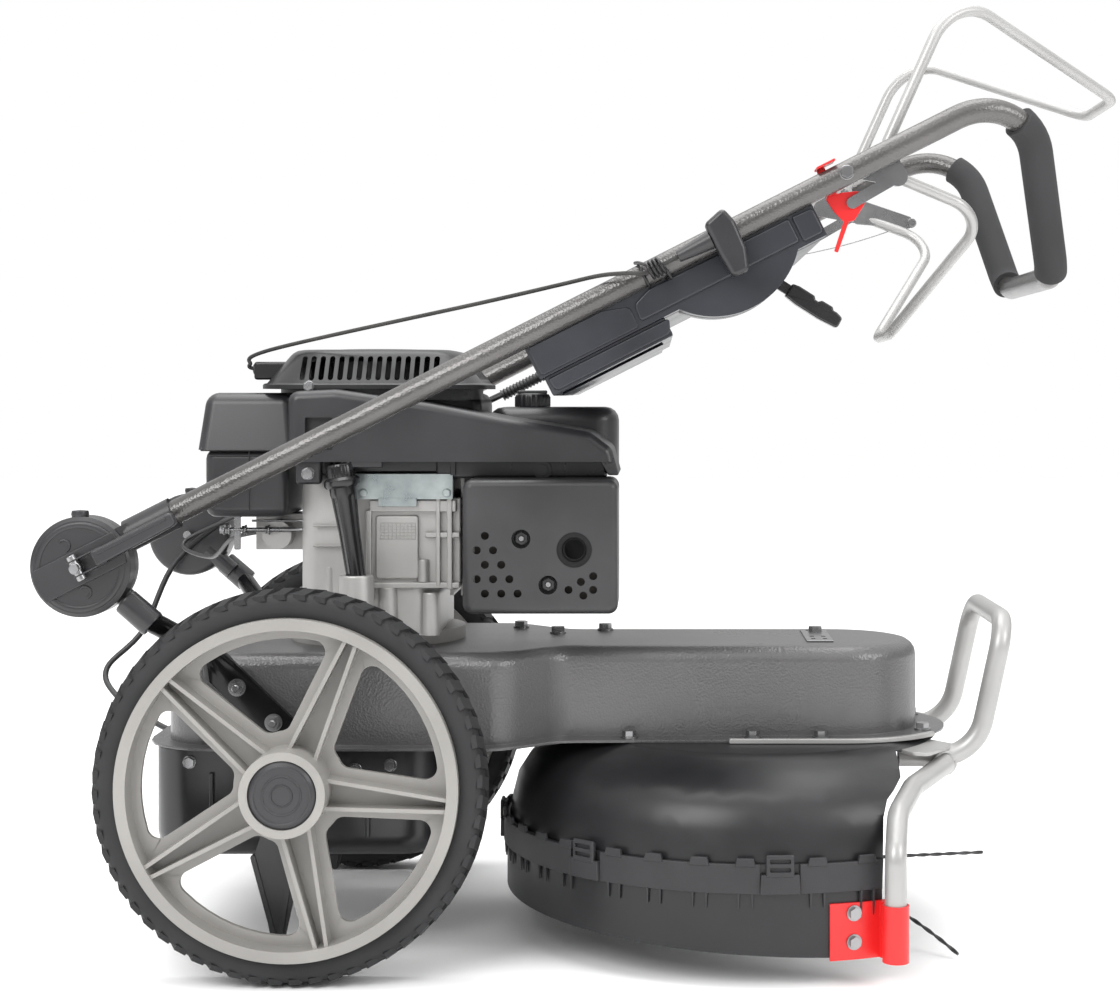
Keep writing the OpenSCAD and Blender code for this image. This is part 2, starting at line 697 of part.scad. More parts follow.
module console_housing() {
    color("#20232b") difference() {
        on_handle() difference() {
            union() {
                difference() {
                    console_form(0, 0);
                    console_form(console_t, 10);
                }
                // Cheeks inside that hold the shift lever's axis
                for (y = [-slot_w / 2 - cheek_t, slot_w / 2]) hull() {
                    translate([quadrant.x, lever_y + y, pivot_v]) rotate([-90, 0, 0])
                        cylinder(h = cheek_t, r = 12, $fn = 32);
                    translate([quadrant.x - 12, lever_y + y, quadrant.y - quadrant_r + 1])
                        cube([24, cheek_t, 4]);
                }
                across_slot(slot_w + 4, pivot_r);
            }
            // Slot that the shift lever travels in
            difference() {
                across_slot(slot_w, quadrant_r + 30);
                across_slot(slot_w + 2, pivot_r);
            }
        }
        tube_groove();
    }
}

module console_box() {
    color("#191b21") on_handle() translate([console_u0 + 4, -console_hw + 6, -console_box_d])
        cube([138, 2 * console_hw - 12, console_box_d - console_d]);
}

lever_y = -195;
lever_fall = 59.3;
module shift_lever() {
    color("#191a1d") on_handle() difference() {
        translate([quadrant.x, lever_y, pivot_v]) {
            rotate([90, 0, 0]) cylinder(h = slot_w - 2, r = 13, center = true);
            rotate([0, lever_fall, 0]) {
                translate([0, -4, -6]) cube([140, 8, 12]);
                translate([88, -6, -9]) cube([62, 12, 18]);
            }
        }
        across_slot(40, pivot_r + run);
    }
}

bail_u = 922;
bail_v = [12, -19];
bail_y = 215;
bail_r = bail_d / 2;
pin_r = 4;
plate_y = bail_y + 6;
plate_t = 3;

module bail_brackets() {
    saddle_w = tube_y - plate_y - plate_t;
    color("#b0b2b3") on_handle() {
        both_sides() {
            translate([0, -plate_y, 0]) rotate([90, 0, 0]) linear_extrude(plate_t) {
                hull() {
                    translate([bail_u, bail_v[0]]) circle(pin_r + 3.5);
                    translate([bail_u, bail_v[1]]) circle(pin_r + 6);
                    translate([bail_u - 34, tube_v]) circle(pin_r + 6);
                }
                hull() {
                    translate([bail_u, bail_v[1]]) circle(pin_r + 2);
                    translate([latch_u, latch_v]) circle(pin_r + 2);
                }
            }
            // Saddle against the tube's inner side
            difference() {
                translate([bail_u - 34, -tube_y + 4, tube_v - 9]) cube([40, saddle_w - 3.9, 18]);
                translate([0, -tube_y, tube_v]) rotate([0, 90, 0]) cylinder(h = 1200, r = tube_r + 0.1);
            }
            for (v = bail_v) translate([bail_u, -plate_y - 1, v]) rotate([-90, 0, 0])
                cylinder(h = 13, r = pin_r);
        }
        // Stud that the latch turns on
        translate([latch_u, -plate_y - 1, latch_v]) rotate([-90, 0, 0])
            cylinder(h = latch_t + 4, r = pin_r);
    }
}

module bail_eye(p) {
    translate(p) rotate([90, 0, 0]) difference() {
        cylinder(h = 8, r = pin_r + 6, center = true);
        cylinder(h = 20, r = pin_r + run, center = true);
    }
}

module bail(p, bends) {
    difference() {
        bent_rod(mirrored(p), concat(bends, [for (i = [len(bends) - 1:-1:0]) bends[i]]), bail_r);
        both_sides() translate(p[0]) rotate([90, 0, 0]) cylinder(h = 30, r = pin_r + 3, center = true);
    }
    both_sides() bail_eye(p[0]);
}

upper_bail_path = [handle_point(bail_u, -bail_y, bail_v[0]), [196, -207, 1012], [392, -70, 921]];
lower_bail_path = [handle_point(bail_u, -bail_y, bail_v[1]), [232, -200, 782], [146, -60, 662]];

module upper_bail() {
    color("#9b9c9b") bail(upper_bail_path, [55, 34]);
}

module lower_bail() {
    color("#9b9c9b") bail(lower_bail_path, [38, 34]);
}

latch_u = 868;
latch_v = -22;
latch_t = 3;
module safety_latch() {
    inner = -plate_y + gap;
    color("#b01b1f") on_handle() {
        translate([latch_u, inner + latch_t, latch_v]) rotate([90, 0,
            0]) linear_extrude(latch_t) difference() {
            union() {
                hull() {
                    circle(13);
                    translate([-14, -18]) circle(6);
                    translate([-16, 8]) circle(5);
                }
                hull() {
                    translate([-14, -18]) circle(4);
                    translate([-36, -40]) circle(2.5);
                }
                hull() {
                    translate([-16, 8]) circle(5);
                    translate([-24, 49]) circle(4);
                }
            }
            circle(pin_r + run);
        }
        // Thumb tab over the tube
        translate([latch_u - 34, -tube_y - 10, latch_v + 49]) cube([20, tube_y + 10 + inner + latch_t, 3]);
    }
}

// Clamp levers on the knuckles

lever_rise = 27;
lever_r = 7;
lever_pin_y = tube_y + knuckle_t + 4 + lever_r;
module clamp_lever() {
    color("#2a2a2b") translate(fold + [0, -lever_pin_y, 0]) rotate([0, -lever_rise, 0]) {
        difference() {
            linear_extrude(18, center = true) hull() {
                circle(lever_r);
                translate([105, 0]) circle(lever_r);
            }
            translate([-12, -20, -6.2]) cube([26, 40, 12.4]);
            translate([40, -lever_r - 1, -5]) cube([58, 4, 10]);
        }
        translate([0, 0, -14]) cylinder(h = 28, r = 5);
    }
}

module clamp_lever_right() { clamp_lever(); }
module clamp_lever_left() { mirror([0, 1, 0]) clamp_lever(); }

// Rope guide and starter handle on the right tube

guide_u = 655;
guide_y = tube_y + tube_r + 5;
module rope_guide() {
    color("#2b2c2e") on_handle() {
        translate([guide_u - 22, -guide_y - 4, tube_v - 8]) cube([44, 9, 16]);
        translate([guide_u, -guide_y - 10, tube_v]) rotate([0, 90, 0]) difference() {
            cylinder(h = 40, r = 12, center = true);
            cylinder(h = 60, r = 8, center = true);
        }
    }
}

rope_y = guide_y + 10;
grip_u = guide_u + 64;
module starter_handle() {
    color("#18181a") on_handle() translate([grip_u, -rope_y, tube_v]) {
        hull() {
            translate([8, 0, -30]) sphere(13, $fn = 24);
            translate([8, 0, 30]) sphere(13, $fn = 24);
        }
        translate([-38, 0, 0]) rotate([0, 90, 0]) cylinder(h = 42, r1 = 6, r2 = 10);
    }
}

// Cutting spindle and head

spindle_bearing_z = [132, 202];
module spindle_housing() {
    color("#5b5e60") difference() {
        union() {
            translate([0, 0, 124]) cylinder(h = flange_z + 6 - 124, r = housing_r);
            translate([0, 0, flange_z - guard_t - 8]) cylinder(h = 8, r = 74);
        }
        cylinder(h = 400, r = spindle_r + 2);
        for (z = spindle_bearing_z) translate([0, 0, z]) cylinder(h = bearing_h + 0.1, r = bearing_r);
        translate([0, 0, 100]) cylinder(h = 32, r = bearing_r);
        translate([0, 0, 202]) cylinder(h = 60, r = bearing_r);
    }
}

head_z = line_z - head_h / 2;
module spindle_shaft() {
    color("#9a9da0") {
        translate([0, 0, head_z + 6]) cylinder(h = trim_pulley_z + 20 - head_z - 6, r = spindle_r);
        translate([0, 0, head_z + head_h + 20 + gap])
            cylinder(h = 132 - head_z - head_h - 20 - 2 * gap, r = spindle_r + 6);
    }
}

// Pulley of pitch radius r with its groove in the middle and a bore
module pulley(r, bore) {
    half = belt_w / 2 + gap;
    root = r - belt_t / 2 - gap;
    rotate_extrude() polygon([[bore, -12], [r + 7, -12], [r + 7, -half], [root, -half], [root, half],
        [r + 7, half],
        [r + 7, 12], [bore, 12]]);
}

module spindle_pulley() {
    color("#6f7375") translate([0, 0, trim_pulley_z]) pulley(spindle_pulley_r, spindle_r + run);
}

line_angles = [8, -40, 188, 140];
module trimmer_head() {
    color("#1d1d1e") difference() {
        union() {
            translate([0, 0, head_z]) cylinder(h = head_h, r = head_r);
            translate([0, 0, head_z + head_h]) cylinder(h = 20, r1 = head_r - 8, r2 = 34);
        }
        translate([0, 0, head_z + 6]) cylinder(h = 200, r = spindle_r + run);
        for (a = line_angles) rotate(a) translate([head_r - 22, 0, line_z]) rotate([0, 90, 0])
            cylinder(h = 40, r = line_d / 2 + 2);
    }
}

module skid_dish() {
    color("#232324") rotate_extrude() polygon(concat([[0, 0]], [for (a = [-90:10:0])
        [pad_r + (dish_r - pad_r) * cos(a), head_z + head_z * sin(a)]], [[0, head_z]]));
}

// Line ends: one points forward, one droops to the floor, two lie inside the guard
line_drop = [4, -56, 0, -2];
module trimmer_lines() {
    color("#2d2d2e") for (i = [0:3]) rotate(line_angles[i])
        sweep([for (k = [0:10]) let(t = k / 10) [head_r - 18 + (line_len + 18) * t, 6 * sin(180 * t),
            line_z + line_drop[i] * t * t]], line_d / 2);
}

// Crankshaft, its pulleys and the belts

fly_z = case_top_z + 6;
module crankshaft() {
    color("#9a9da0") translate([-crank_back, 0, 0]) {
        translate([0, 0, drive_pulley_z - 14]) cylinder(h = fly_z + 60 - drive_pulley_z, r = crank_r);
    }
}

module flywheel() {
    color("#6b6e70") translate([-crank_back, 0, fly_z]) difference() {
        union() {
            cylinder(h = 20, r = fly_r);
            cylinder(h = 44, r = 30);
            for (i = [0:15]) rotate(360 * i / 16) translate([46, -1.5, 18]) cube([fly_r - 48, 3, 24]);
        }
        cylinder(h = 200, r = crank_r + 0.05, center = true);
    }
}

module crank_pulley() {
    color("#6f7375") translate([-crank_back, 0, 0]) {
        translate([0, 0, trim_pulley_z]) pulley(crank_pulley_r, crank_r + 0.05);
        translate([0, 0, drive_pulley_z]) pulley(drive_pulley_r, crank_r + 0.05);
    }
}

module gearbox_pulley() {
    color("#6f7375") {
        translate([gear_x, 0, drive_pulley_z]) pulley(gearbox_pulley_r, 8);
        translate([gear_x, 0, axle_z + 4]) cylinder(h = drive_pulley_z + 12 - axle_z - 4, r = 8);
    }
}

module belt(x0, r0, x1, r1, z) {
    translate([0, 0, z - belt_w / 2]) linear_extrude(belt_w) difference() {
        hull() {
            translate([x0, 0]) circle(r0 + belt_t / 2);
            translate([x1, 0]) circle(r1 + belt_t / 2);
        }
        hull() {
            translate([x0, 0]) circle(r0 - belt_t / 2);
            translate([x1, 0]) circle(r1 - belt_t / 2);
        }
    }
}

module belts() {
    color("#1a1a1a") {
        belt(-crank_back, crank_pulley_r, 0, spindle_pulley_r, trim_pulley_z);
        belt(gear_x, gearbox_pulley_r, -crank_back, drive_pulley_r, drive_pulley_z);
    }
}

// Engine

case_x0 = -crank_back - 75;
case_x1 = -crank_back + 78;
cyl_z = 440;
fin_x0 = case_x1 + 10;
head_x = fin_x0 + 108;

module engine_block() {
    color("#8b8c8c") difference() {
        union() {
            translate([-crank_back, 0, deck_top_z]) cylinder(h = 14, r = 98);
            soft_block(case_x0, case_x1, case_hw, deck_top_z + 13, case_top_z, 30, 14);
            translate([case_x1 - 20, 0, cyl_z]) rotate([0, 90, 0])
                cylinder(h = head_x - case_x1 + 20, r = 48);
            for (i = [0:8]) translate([fin_x0 + 12 * i, -72, cyl_z - 66]) cube([4, 144, 130]);
        }
        translate([-crank_back, 0, 0]) cylinder(h = 900, r = crank_r + run);
    }
}

module cylinder_head() {
    color("#9fa0a0") {
        translate([head_x, -60, cyl_z - 56]) cube([10, 120, 112]);
        for (i = [0:6]) translate([head_x + 9, -60, cyl_z - 56 + 18 * i]) cube([20, 120, 4]);
        translate([head_x + 9, 0, cyl_z]) rotate([0, 90, 0]) cylinder(h = 30, r = 8);
        translate([head_x + 39, 0, cyl_z]) rotate([0, 90, 0]) cylinder(h = 26, r = 11);
    }
}

module air_baffle() {
    z = case_top_z;
    color("#b9bab8") {
        translate([case_x0 + 64, -case_hw - 11.5, 482]) cube([106, 1.5, z + 1.5 - 482]);
        translate([case_x0 + 64, -case_hw - 11.5, z]) cube([40, 50, 1.5]);
    }
}

cowl_x0 = -crank_back - 80;
nose_x1 = -152;
starter_z = cowl_top_z + 21;
fly_r = 74;
collar_r = 72;
module engine_cowl() {
    nose_y = -cowl_hw + 75;
    color("#1e1e1f") difference() {
        union() {
            soft_block(cowl_x0, -crank_back + 118, cowl_hw, cowl_z, cowl_top_z, 60, 20);
            translate([0, nose_y, 0]) soft_block(-crank_back + 40, nose_x1, 75, cowl_z - 16,
                cowl_top_z - 16, 30, 24);
            translate([-crank_back, 0, cowl_top_z - 2])
                cylinder(h = starter_z - cowl_top_z + 2, r = collar_r + 8);
        }
        soft_block(cowl_x0, -crank_back + 118, cowl_hw, cowl_z - 30, cowl_top_z - 3, 60, 17, -3);
        translate([0, nose_y, 0]) soft_block(-crank_back + 40, nose_x1, 75, cowl_z - 50,
            cowl_top_z - 19, 30, 21, -3);
        translate([-crank_back, 0, 0]) cylinder(h = 900, r = collar_r);
    }
    // Posts that carry the cowl on the crankcase
    color("#1e1e1f") for (x = [-47, 50], y = [-78, 78])
        translate([x - crank_back, y, case_top_z]) cylinder(h = cowl_top_z - 2 - case_top_z, r = 7);
}

slot_count = 44;
module starter_cover() {
    h = starter_top_z - starter_z;
    slope = 26;
    t = 3;
    profile = [[collar_r, 0], [starter_r, 0], [starter_r, 6], [starter_r - slope, h - 8],
        [starter_r - slope - 4, h - 3], [starter_r - slope - 10, h], [0, h]];
    inner = [[0, h - t], [starter_r - slope - 11, h - t], [starter_r - slope - t - 1, h - 9],
        [starter_r - t, 7],
        [starter_r - t, t], [collar_r, t]];
    color("#232324") {
        difference() {
            translate([-crank_back, 0, starter_z]) rotate_extrude() polygon(concat(profile, inner));
            for (i = [0:slot_count - 1]) let(a = 360 * i / slot_count) if (cos(a) > -0.86)
                translate([-crank_back, 0, starter_z + 9]) rotate(a) translate([starter_r - 44, -4, 0])
                    cube([60, 8, h - 19]);
        }
        // Eyelet that the rope comes out of
        translate([-crank_back - starter_r - 4, -60, starter_z + 9]) cube([26, 22, 20]);
    }
}

filter_x0 = -609;
filter_x1 = cowl_x0 - 2;
filter_y = -30;
filter_z = 535;
module filter_base() {
    color("#2b2b2c") translate([0, filter_y, 0])
        soft_block(filter_x0 + 5, filter_x1 - 5, 75, 462, filter_z, 16, 2);
}

module filter_cover() {
    color("#1c1c1d") translate([0, filter_y, 0])
        soft_block(filter_x0, filter_x1, 80, filter_z, 597, 20, 14);
}

module carburettor() {
    color("#77797a") {
        translate([case_x0 - 58, -36, 422]) cube([58, 52, 40]);
        translate([case_x0 - 30, -36, 440]) rotate([90, 0, 0]) cylinder(h = 26, r = 16);
    }
}

tank_y = 80;
tank_z0 = cyl_z + 64 + gap;
tank_top = 581;
fuel_x = -257;
module fuel_tank() {
    color("#1b1b1c") {
        translate([0, tank_y, 0]) soft_block(fin_x0 + 34, -157, 64, tank_z0, tank_top, 26, 16);
        translate([fuel_x, tank_y - 18, tank_top - 3]) cylinder(h = 11, r = 15);
    }
}

module fuel_cap() {
    color("#151516") translate([fuel_x, tank_y - 18, tank_top + gap]) difference() {
        cylinder(h = 16, r = 21);
        translate([0, 0, -1]) cylinder(h = 10, r = 15 + run);
    }
}

oil_y = -case_hw - 35;
module oil_filler() {
    foot = [-crank_back - 10, oil_y, 396];
    top = [-crank_back - 21, oil_y, 500];
    color("#202021") {
        translate([foot.x, -case_hw, foot.z - 8]) rotate([90, 0, 0]) cylinder(h = 6, r = 20);
        translate([foot.x, -case_hw, foot.z - 8]) rotate([90, 0, 0]) cylinder(h = 40, r = 15);
        rod(foot, top, 12);
        rod(top, top + [-2, 0, 20], 15);
    }
}

muffler_x0 = -317;
muffler_x1 = -153;
muffler_z0 = 364;
muffler_z1 = 506;
muffler_face = -175;

module muffler() {
    color("#5a544c") {
        translate([muffler_x0 + 12, muffler_face + 16, muffler_z0 + 12])
            cube([muffler_x1 - muffler_x0 - 24, 72, muffler_z1 - muffler_z0 - 24]);
        translate([fin_x0 + 60, -88, cyl_z]) rotate([-90, 0, 0]) cylinder(h = 16, r = 14);
    }
}

// Hole rows of the muffler guard, counted in pitches from its lower left corner
hole_pitch = 17.2;
left_holes = [[0, 0], [1, 0], [2, 0], [-0.5, 1], [0.5, 1], [1.5, 1], [0, 2], [1, 2], [-0.5, 3],
    [0.5, 3], [0, 4]];
right_holes = [[2, 0], [0, 0], [1.2, -0.5], [1, 0.7], [2, 1.2]];
// Recessed bolts that hold the guard on the muffler, in X and Z
guard_cups = [[-255, 443.5], [-226.6, 395]];
cup_r = 10;
module muffler_guard() {
    w = muffler_x1 - muffler_x0;
    h = muffler_z1 - muffler_z0;
    color("#232323") {
        for (p = guard_cups) translate([p.x, muffler_face + 16, p.y]) rotate([90, 0, 0]) difference() {
            cylinder(h = 15, r = cup_r + 2);
            translate([0, 0, 2]) cylinder(h = 20, r = cup_r);
        }
        difference() {
        translate([0, muffler_face + 90, (muffler_z0 + muffler_z1) / 2]) rotate([90, 0, 0])
            soft_block(muffler_x0, muffler_x1, h / 2, 0, 90, 10, 8);
        translate([0, muffler_face + 90, (muffler_z0 + muffler_z1) / 2]) rotate([90, 0, 0])
            soft_block(muffler_x0, muffler_x1, h / 2, -10, 88, 10, 6.5, -1.6);
        translate([muffler_x0, muffler_face - 5, muffler_z0]) rotate([-90, 0, 0]) {
            for (p = left_holes) translate([24 + p.x * hole_pitch, -22 - p.y * 15.2, 0])
                cylinder(h = 20, r = 4.2);
            for (p = right_holes) translate([112 + p.x * 13, -26 - p.y * 12, 0]) cylinder(h = 20, r = 4.2);
            translate([118, -68, 0]) cylinder(h = 20, r = 13);
            for (p = guard_cups) translate([p.x - muffler_x0, muffler_z0 - p.y, 0])
                cylinder(h = 20, r = cup_r);
        }
        }
    }
}

// Wheels, drawn about the axle with z outward

module wheel_frame() {
    translate([-axle_back, -wheel_y, axle_z]) rotate([90, 0, 0]) children();
}

module tyre() {
    hw = tyre_w / 2;
    r = wheel_d / 2;
    c = 12;
    color("#232322") wheel_frame() rotate_extrude($fn = 96) polygon(concat([[tyre_in_r + 0.1, -hw + 2]],
        arc([r - c, -hw + c], c, -90, 0, 4), arc([r - c, hw - c], c, 0, 90, 4),
            [[tyre_in_r + 0.1, hw - 2]]));
}

module window_shapes() {
    offset(window_r) offset(-window_r) difference() {
        circle(tyre_in_r - rim_t - 10);
        circle(hub_r + 14);
        for (i = [0:spoke_count - 1]) rotate(spoke_turn + 360 * i / spoke_count) polygon([
            [0, -spoke_hub_gap / 2 - spoke_margin], [tyre_in_r, -spoke_rim_gap / 2 - spoke_margin],
            [tyre_in_r, spoke_rim_gap / 2 + spoke_margin], [0, spoke_hub_gap / 2 + spoke_margin]]);
    }
}

module rim() {
    web_z = 4;
    color("#b3b1ab") wheel_frame() difference() {
        union() {
            translate([0, 0, -tyre_w / 2]) rotate_extrude($fn = 96) translate([tyre_in_r - rim_t, 0])
                square([rim_t, tyre_w / 2 + rim_face]);
            translate([0, 0, web_z]) linear_extrude(6) difference() {
                circle(tyre_in_r - rim_t + 2);
                window_shapes();
            }
            translate([0, 0, -tyre_w / 2 + 2]) cylinder(h = hub_face + tyre_w / 2 - 2, r = hub_r);
            translate([0, 0, web_z + 5]) linear_extrude(22) for (i = [0:spoke_count - 1])
                rotate(spoke_turn + 360 * i / spoke_count) for (s = [-1, 1]) polygon([
                    [hub_r - 10, s * spoke_hub_gap / 2 - spoke_rib_t / 2],
                        [tyre_in_r - rim_t + 3, s * spoke_rim_gap / 2 - spoke_rib_t / 2],
                    [tyre_in_r - rim_t + 3, s * spoke_rim_gap / 2 + spoke_rib_t / 2],
                        [hub_r - 10, s * spoke_hub_gap / 2 + spoke_rib_t / 2]]);
        }
        cylinder(h = 300, r = axle_d / 2 + run, center = true);
        translate([0, 0, hub_face - 14]) cylinder(h = 20, r = hub_cap_r + 0.2);
    }
}

module hub_cap() {
    color("#1a1a1b") wheel_frame() translate([0, 0, hub_face - 14]) difference() {
        union() {
            cylinder(h = 12, r = hub_cap_r);
            translate([0, 0, 12]) cylinder(h = 3, r1 = hub_cap_r, r2 = hub_cap_r - 4);
        }
        translate([0, 0, -1]) cylinder(h = 9, r = hub_cap_r - 6);
    }
}

module tyre_right() { tyre(); }
module rim_right() { rim(); }
module hub_cap_right() { hub_cap(); }
module tyre_left() { mirror([0, 1, 0]) tyre(); }
module rim_left() { mirror([0, 1, 0]) rim(); }
module hub_cap_left() { mirror([0, 1, 0]) hub_cap(); }

// Cords

module starter_rope() {
    eye = [-crank_back - starter_r - 5, -49, starter_z + 21];
    color("#2a2a2b") sweep(spline([eye, eye + [-5, -2, 5], eye + [24, -16, 22], handle_point(480, -170, 62),
        handle_point(560, -205, 40), handle_point(600, -238, 28), handle_point(624, -rope_y, 17),
        handle_point(guide_u - 10, -rope_y, tube_v), handle_point(grip_u - 38 - gap, -rope_y, tube_v)],
            5), 2.2);
}

module control_cables() {
    u0 = console_u0 - 1;
    color("#141414") {
        sweep(spline([handle_point(u0, 172, -24), handle_point(400, 190, -20), handle_point(220, 205, -16),
            handle_point(80, 205, -4), fold + [-10, 202, -30], [-744, 186, 306], [-783, 166, 262],
            [-768, 148, 232], [-720, 132, 203], [-685, 118, 191], [cover_x0 - 1, 110, 190]], 5), 3.5);
        sweep(spline([handle_point(u0, 150, -24), handle_point(u0 - 70, 150, -24), handle_point(380,
            165, -22),
            handle_point(220, 190, -18), handle_point(80, 190, -8), fold + [0, 190, -8], fold + [50,
                120, -20],
            [-600, 20, 430], [case_x0 - 60, -10, 440]], 5), 2.5);
        // Ribbed sleeve round the cable where it leaves the console
        pipe([for (i = [0:31]) handle_point(u0 - 2.2 * i, 150, -24)], 7, 4.5, 1.2, 8);
    }
}

// Fasteners of the chassis, as separate solids

module fasteners() {
    color("#c3c5c6") {
        both_sides() {
            for (p = bar_bolts) translate([p.x, -bar_plate_y - bar_plate_t, p.y]) rotate([90, 0,
                0]) nut(13, 8);
            for (x = [-142, -8, 66]) translate([x, -deck_nose_hw - flange_nose_w / 2,
                flange_z + deck_t]) nut(13, 8);
            for (z = [46, 75]) rotate(-72.5)
                translate([strap_r + bracket_t, 0, z]) rotate([0, 90, 0]) nut(11, 6);
            // Bolt that the fold knuckle turns on
            translate(fold) rotate([90, 0, 0]) translate([0, 0, tube_y - knuckle_t - 10])
                cylinder(h = lever_pin_y - lever_r - gap - tube_y + knuckle_t + 10, r = knuckle_bolt_r);
        }
        for (a = [-30, 30]) translate([nose_centre_x, 0, flange_z + deck_t]) rotate(a)
            translate([deck_nose_hw + flange_nose_w / 2, 0, 0]) nut(13, 8);
        for (q = [[-226, 33], [-172, 62], [-272, 88], [71, 33]]) translate([q.x, q.y, deck_top_z])
            nut(13, 8);
        for (q = guard_cups) translate([q.x, muffler_face + 14, q.y]) rotate([90, 0, 0]) nut(10, 6);
    }
}

deck_shell();
debris_guard();
guard_skirt();
skirt_strap();
guard_brackets();
bumper_bar();
transmission_cover();
gearbox_housing();
axle_shaft();
bearings();
lower_bars();
knuckle_bases();
rear_skids();
fasteners();
spindle_housing();
belts();
engine_block();
cylinder_head();
air_baffle();
engine_cowl();
starter_cover();
filter_base();
filter_cover();
carburettor();
fuel_tank();
oil_filler();
muffler();
muffler_guard();
starter_rope();
control_cables();
crankshaft();
flywheel();
crank_pulley();
spindle_shaft();
spindle_pulley();
trimmer_head();
skid_dish();
trimmer_lines();
gearbox_pulley();
tyre_right();
rim_right();
hub_cap_right();
tyre_left();
rim_left();
hub_cap_left();
handlebar();
foam_grips();
knuckle_caps();
console_housing();
console_box();
bail_brackets();
rope_guide();
shift_lever();
upper_bail();
lower_bail();
safety_latch();
clamp_lever_right();
clamp_lever_left();
starter_handle();
fuel_cap();
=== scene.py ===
# Wheeled string trimmer with its handlebar folded forward over the engine, drawn in metres.
# +X is the machine's front, +Y its left side and +Z up; the cutting spindle stands on the origin.
from math import acos, asin, atan2, cos, degrees, pi, radians, sin, tan, tau

import bmesh
import bpy
from mathutils import Matrix, Vector


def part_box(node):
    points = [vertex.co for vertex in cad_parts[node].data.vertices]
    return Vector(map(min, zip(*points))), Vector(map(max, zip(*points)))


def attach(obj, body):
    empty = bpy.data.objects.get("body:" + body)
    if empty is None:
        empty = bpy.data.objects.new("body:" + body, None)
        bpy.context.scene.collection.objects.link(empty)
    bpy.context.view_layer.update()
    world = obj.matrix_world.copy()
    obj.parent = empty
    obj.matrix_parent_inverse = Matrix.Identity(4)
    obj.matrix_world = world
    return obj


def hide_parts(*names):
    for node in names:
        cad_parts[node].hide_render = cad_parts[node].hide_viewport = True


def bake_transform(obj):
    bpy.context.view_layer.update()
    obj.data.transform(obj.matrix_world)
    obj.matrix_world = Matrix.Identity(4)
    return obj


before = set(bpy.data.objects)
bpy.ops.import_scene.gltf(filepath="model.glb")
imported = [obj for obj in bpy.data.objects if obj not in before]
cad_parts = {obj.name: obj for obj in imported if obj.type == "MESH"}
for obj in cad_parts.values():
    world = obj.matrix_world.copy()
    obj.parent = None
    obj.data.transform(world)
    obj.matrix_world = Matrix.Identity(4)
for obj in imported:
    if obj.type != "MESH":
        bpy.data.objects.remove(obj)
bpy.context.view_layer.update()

# Studio: a pale floor under a white dome that is brightest overhead, three broad soft lamps,
# and a camera level with the engine, square to the machine's right side.
def show(name, data):
    """New object at the origin that stands in the scene."""
    made = bpy.data.objects.new(name, data)
    bpy.context.scene.collection.objects.link(made)
    return made


camera = bpy.data.cameras.new("camera")
camera.lens = 64.77
camera.shift_x, camera.shift_y = -0.0848, -0.0946
camera.clip_end = 50
stand = show("camera", camera)
stand.location = (-0.114, -2.295, 0.595)
stand.rotation_euler = (pi / 2, 0, 0)
bpy.context.scene.camera = stand


def shader_node(tree, kind, **values):
    """New shader node with constant values on its sockets, whose names have _ for each space."""
    made = tree.nodes.new(f"ShaderNode{kind}")
    for socket, value in values.items():
        made.inputs[socket.replace("_", " ")].default_value = value
    return made


def link_up(tree, *routes):
    """Links (node, output, node, input) in a node tree."""
    for source, out, target, into in routes:
        tree.links.new(source.outputs[out], target.inputs[into])


world = bpy.data.worlds.new("surround")
world.use_nodes = True
sky = world.node_tree
backdrop = sky.nodes["Background"]
backdrop.inputs["Color"].default_value = (1, 1, 1, 1)
way, split, ray = [shader_node(sky, kind) for kind in ("TexCoord", "SeparateXYZ", "LightPath")]
dome = shader_node(sky, "MapRange", From_Min=0, From_Max=1, To_Min=0.38, To_Max=1.8)
shown = shader_node(sky, "Mix", B=1)
link_up(sky, (way, "Generated", split, "Vector"), (split, "Z", dome, "Value"), (dome, "Result", shown, "A"),
        (ray, "Is Camera Ray", shown, "Factor"), (shown, "Result", backdrop, "Strength"))
bpy.context.scene.world = world
bpy.context.scene.view_settings.view_transform = "Standard"

for name, place, aim, size, power in (
    ("lamp_front", (-1.6, -2.4, 2.2), (-0.2, 0, 0.4), 1.6, 55),
    ("lamp_right", (2.0, -1.6, 1.6), (0, 0, 0.4), 1.2, 24),
    ("lamp_top", (-0.2, 0.2, 3.0), (-0.2, 0, 0.3), 2.4, 60),
):
    lamp = bpy.data.lights.new(name, "AREA")
    lamp.size, lamp.energy = size, power
    holder = show(name, lamp)
    holder.location = place
    holder.rotation_euler = (Vector(aim) - Vector(place)).to_track_quat("-Z", "Y").to_euler()


def to_mesh(bm, place=None):
    """Mesh of a finished bmesh, moved to its place."""
    if place:
        bmesh.ops.transform(bm, matrix=place, verts=bm.verts)
    mesh = bpy.data.meshes.new("shape")
    bm.to_mesh(mesh)
    bm.free()
    return mesh


bm = bmesh.new()
bmesh.ops.create_grid(bm, x_segments=1, y_segments=1, size=12)
floor = show("floor", to_mesh(bm))
floor_paint = bpy.data.materials.new("pale_floor")
floor_paint.use_nodes = True
floor_shader = floor_paint.node_tree.nodes["Principled BSDF"]
floor_shader.inputs["Base Color"].default_value = (0.985, 0.985, 0.985, 1)
floor_shader.inputs["Roughness"].default_value = 0.7
floor.data.materials.append(floor_paint)


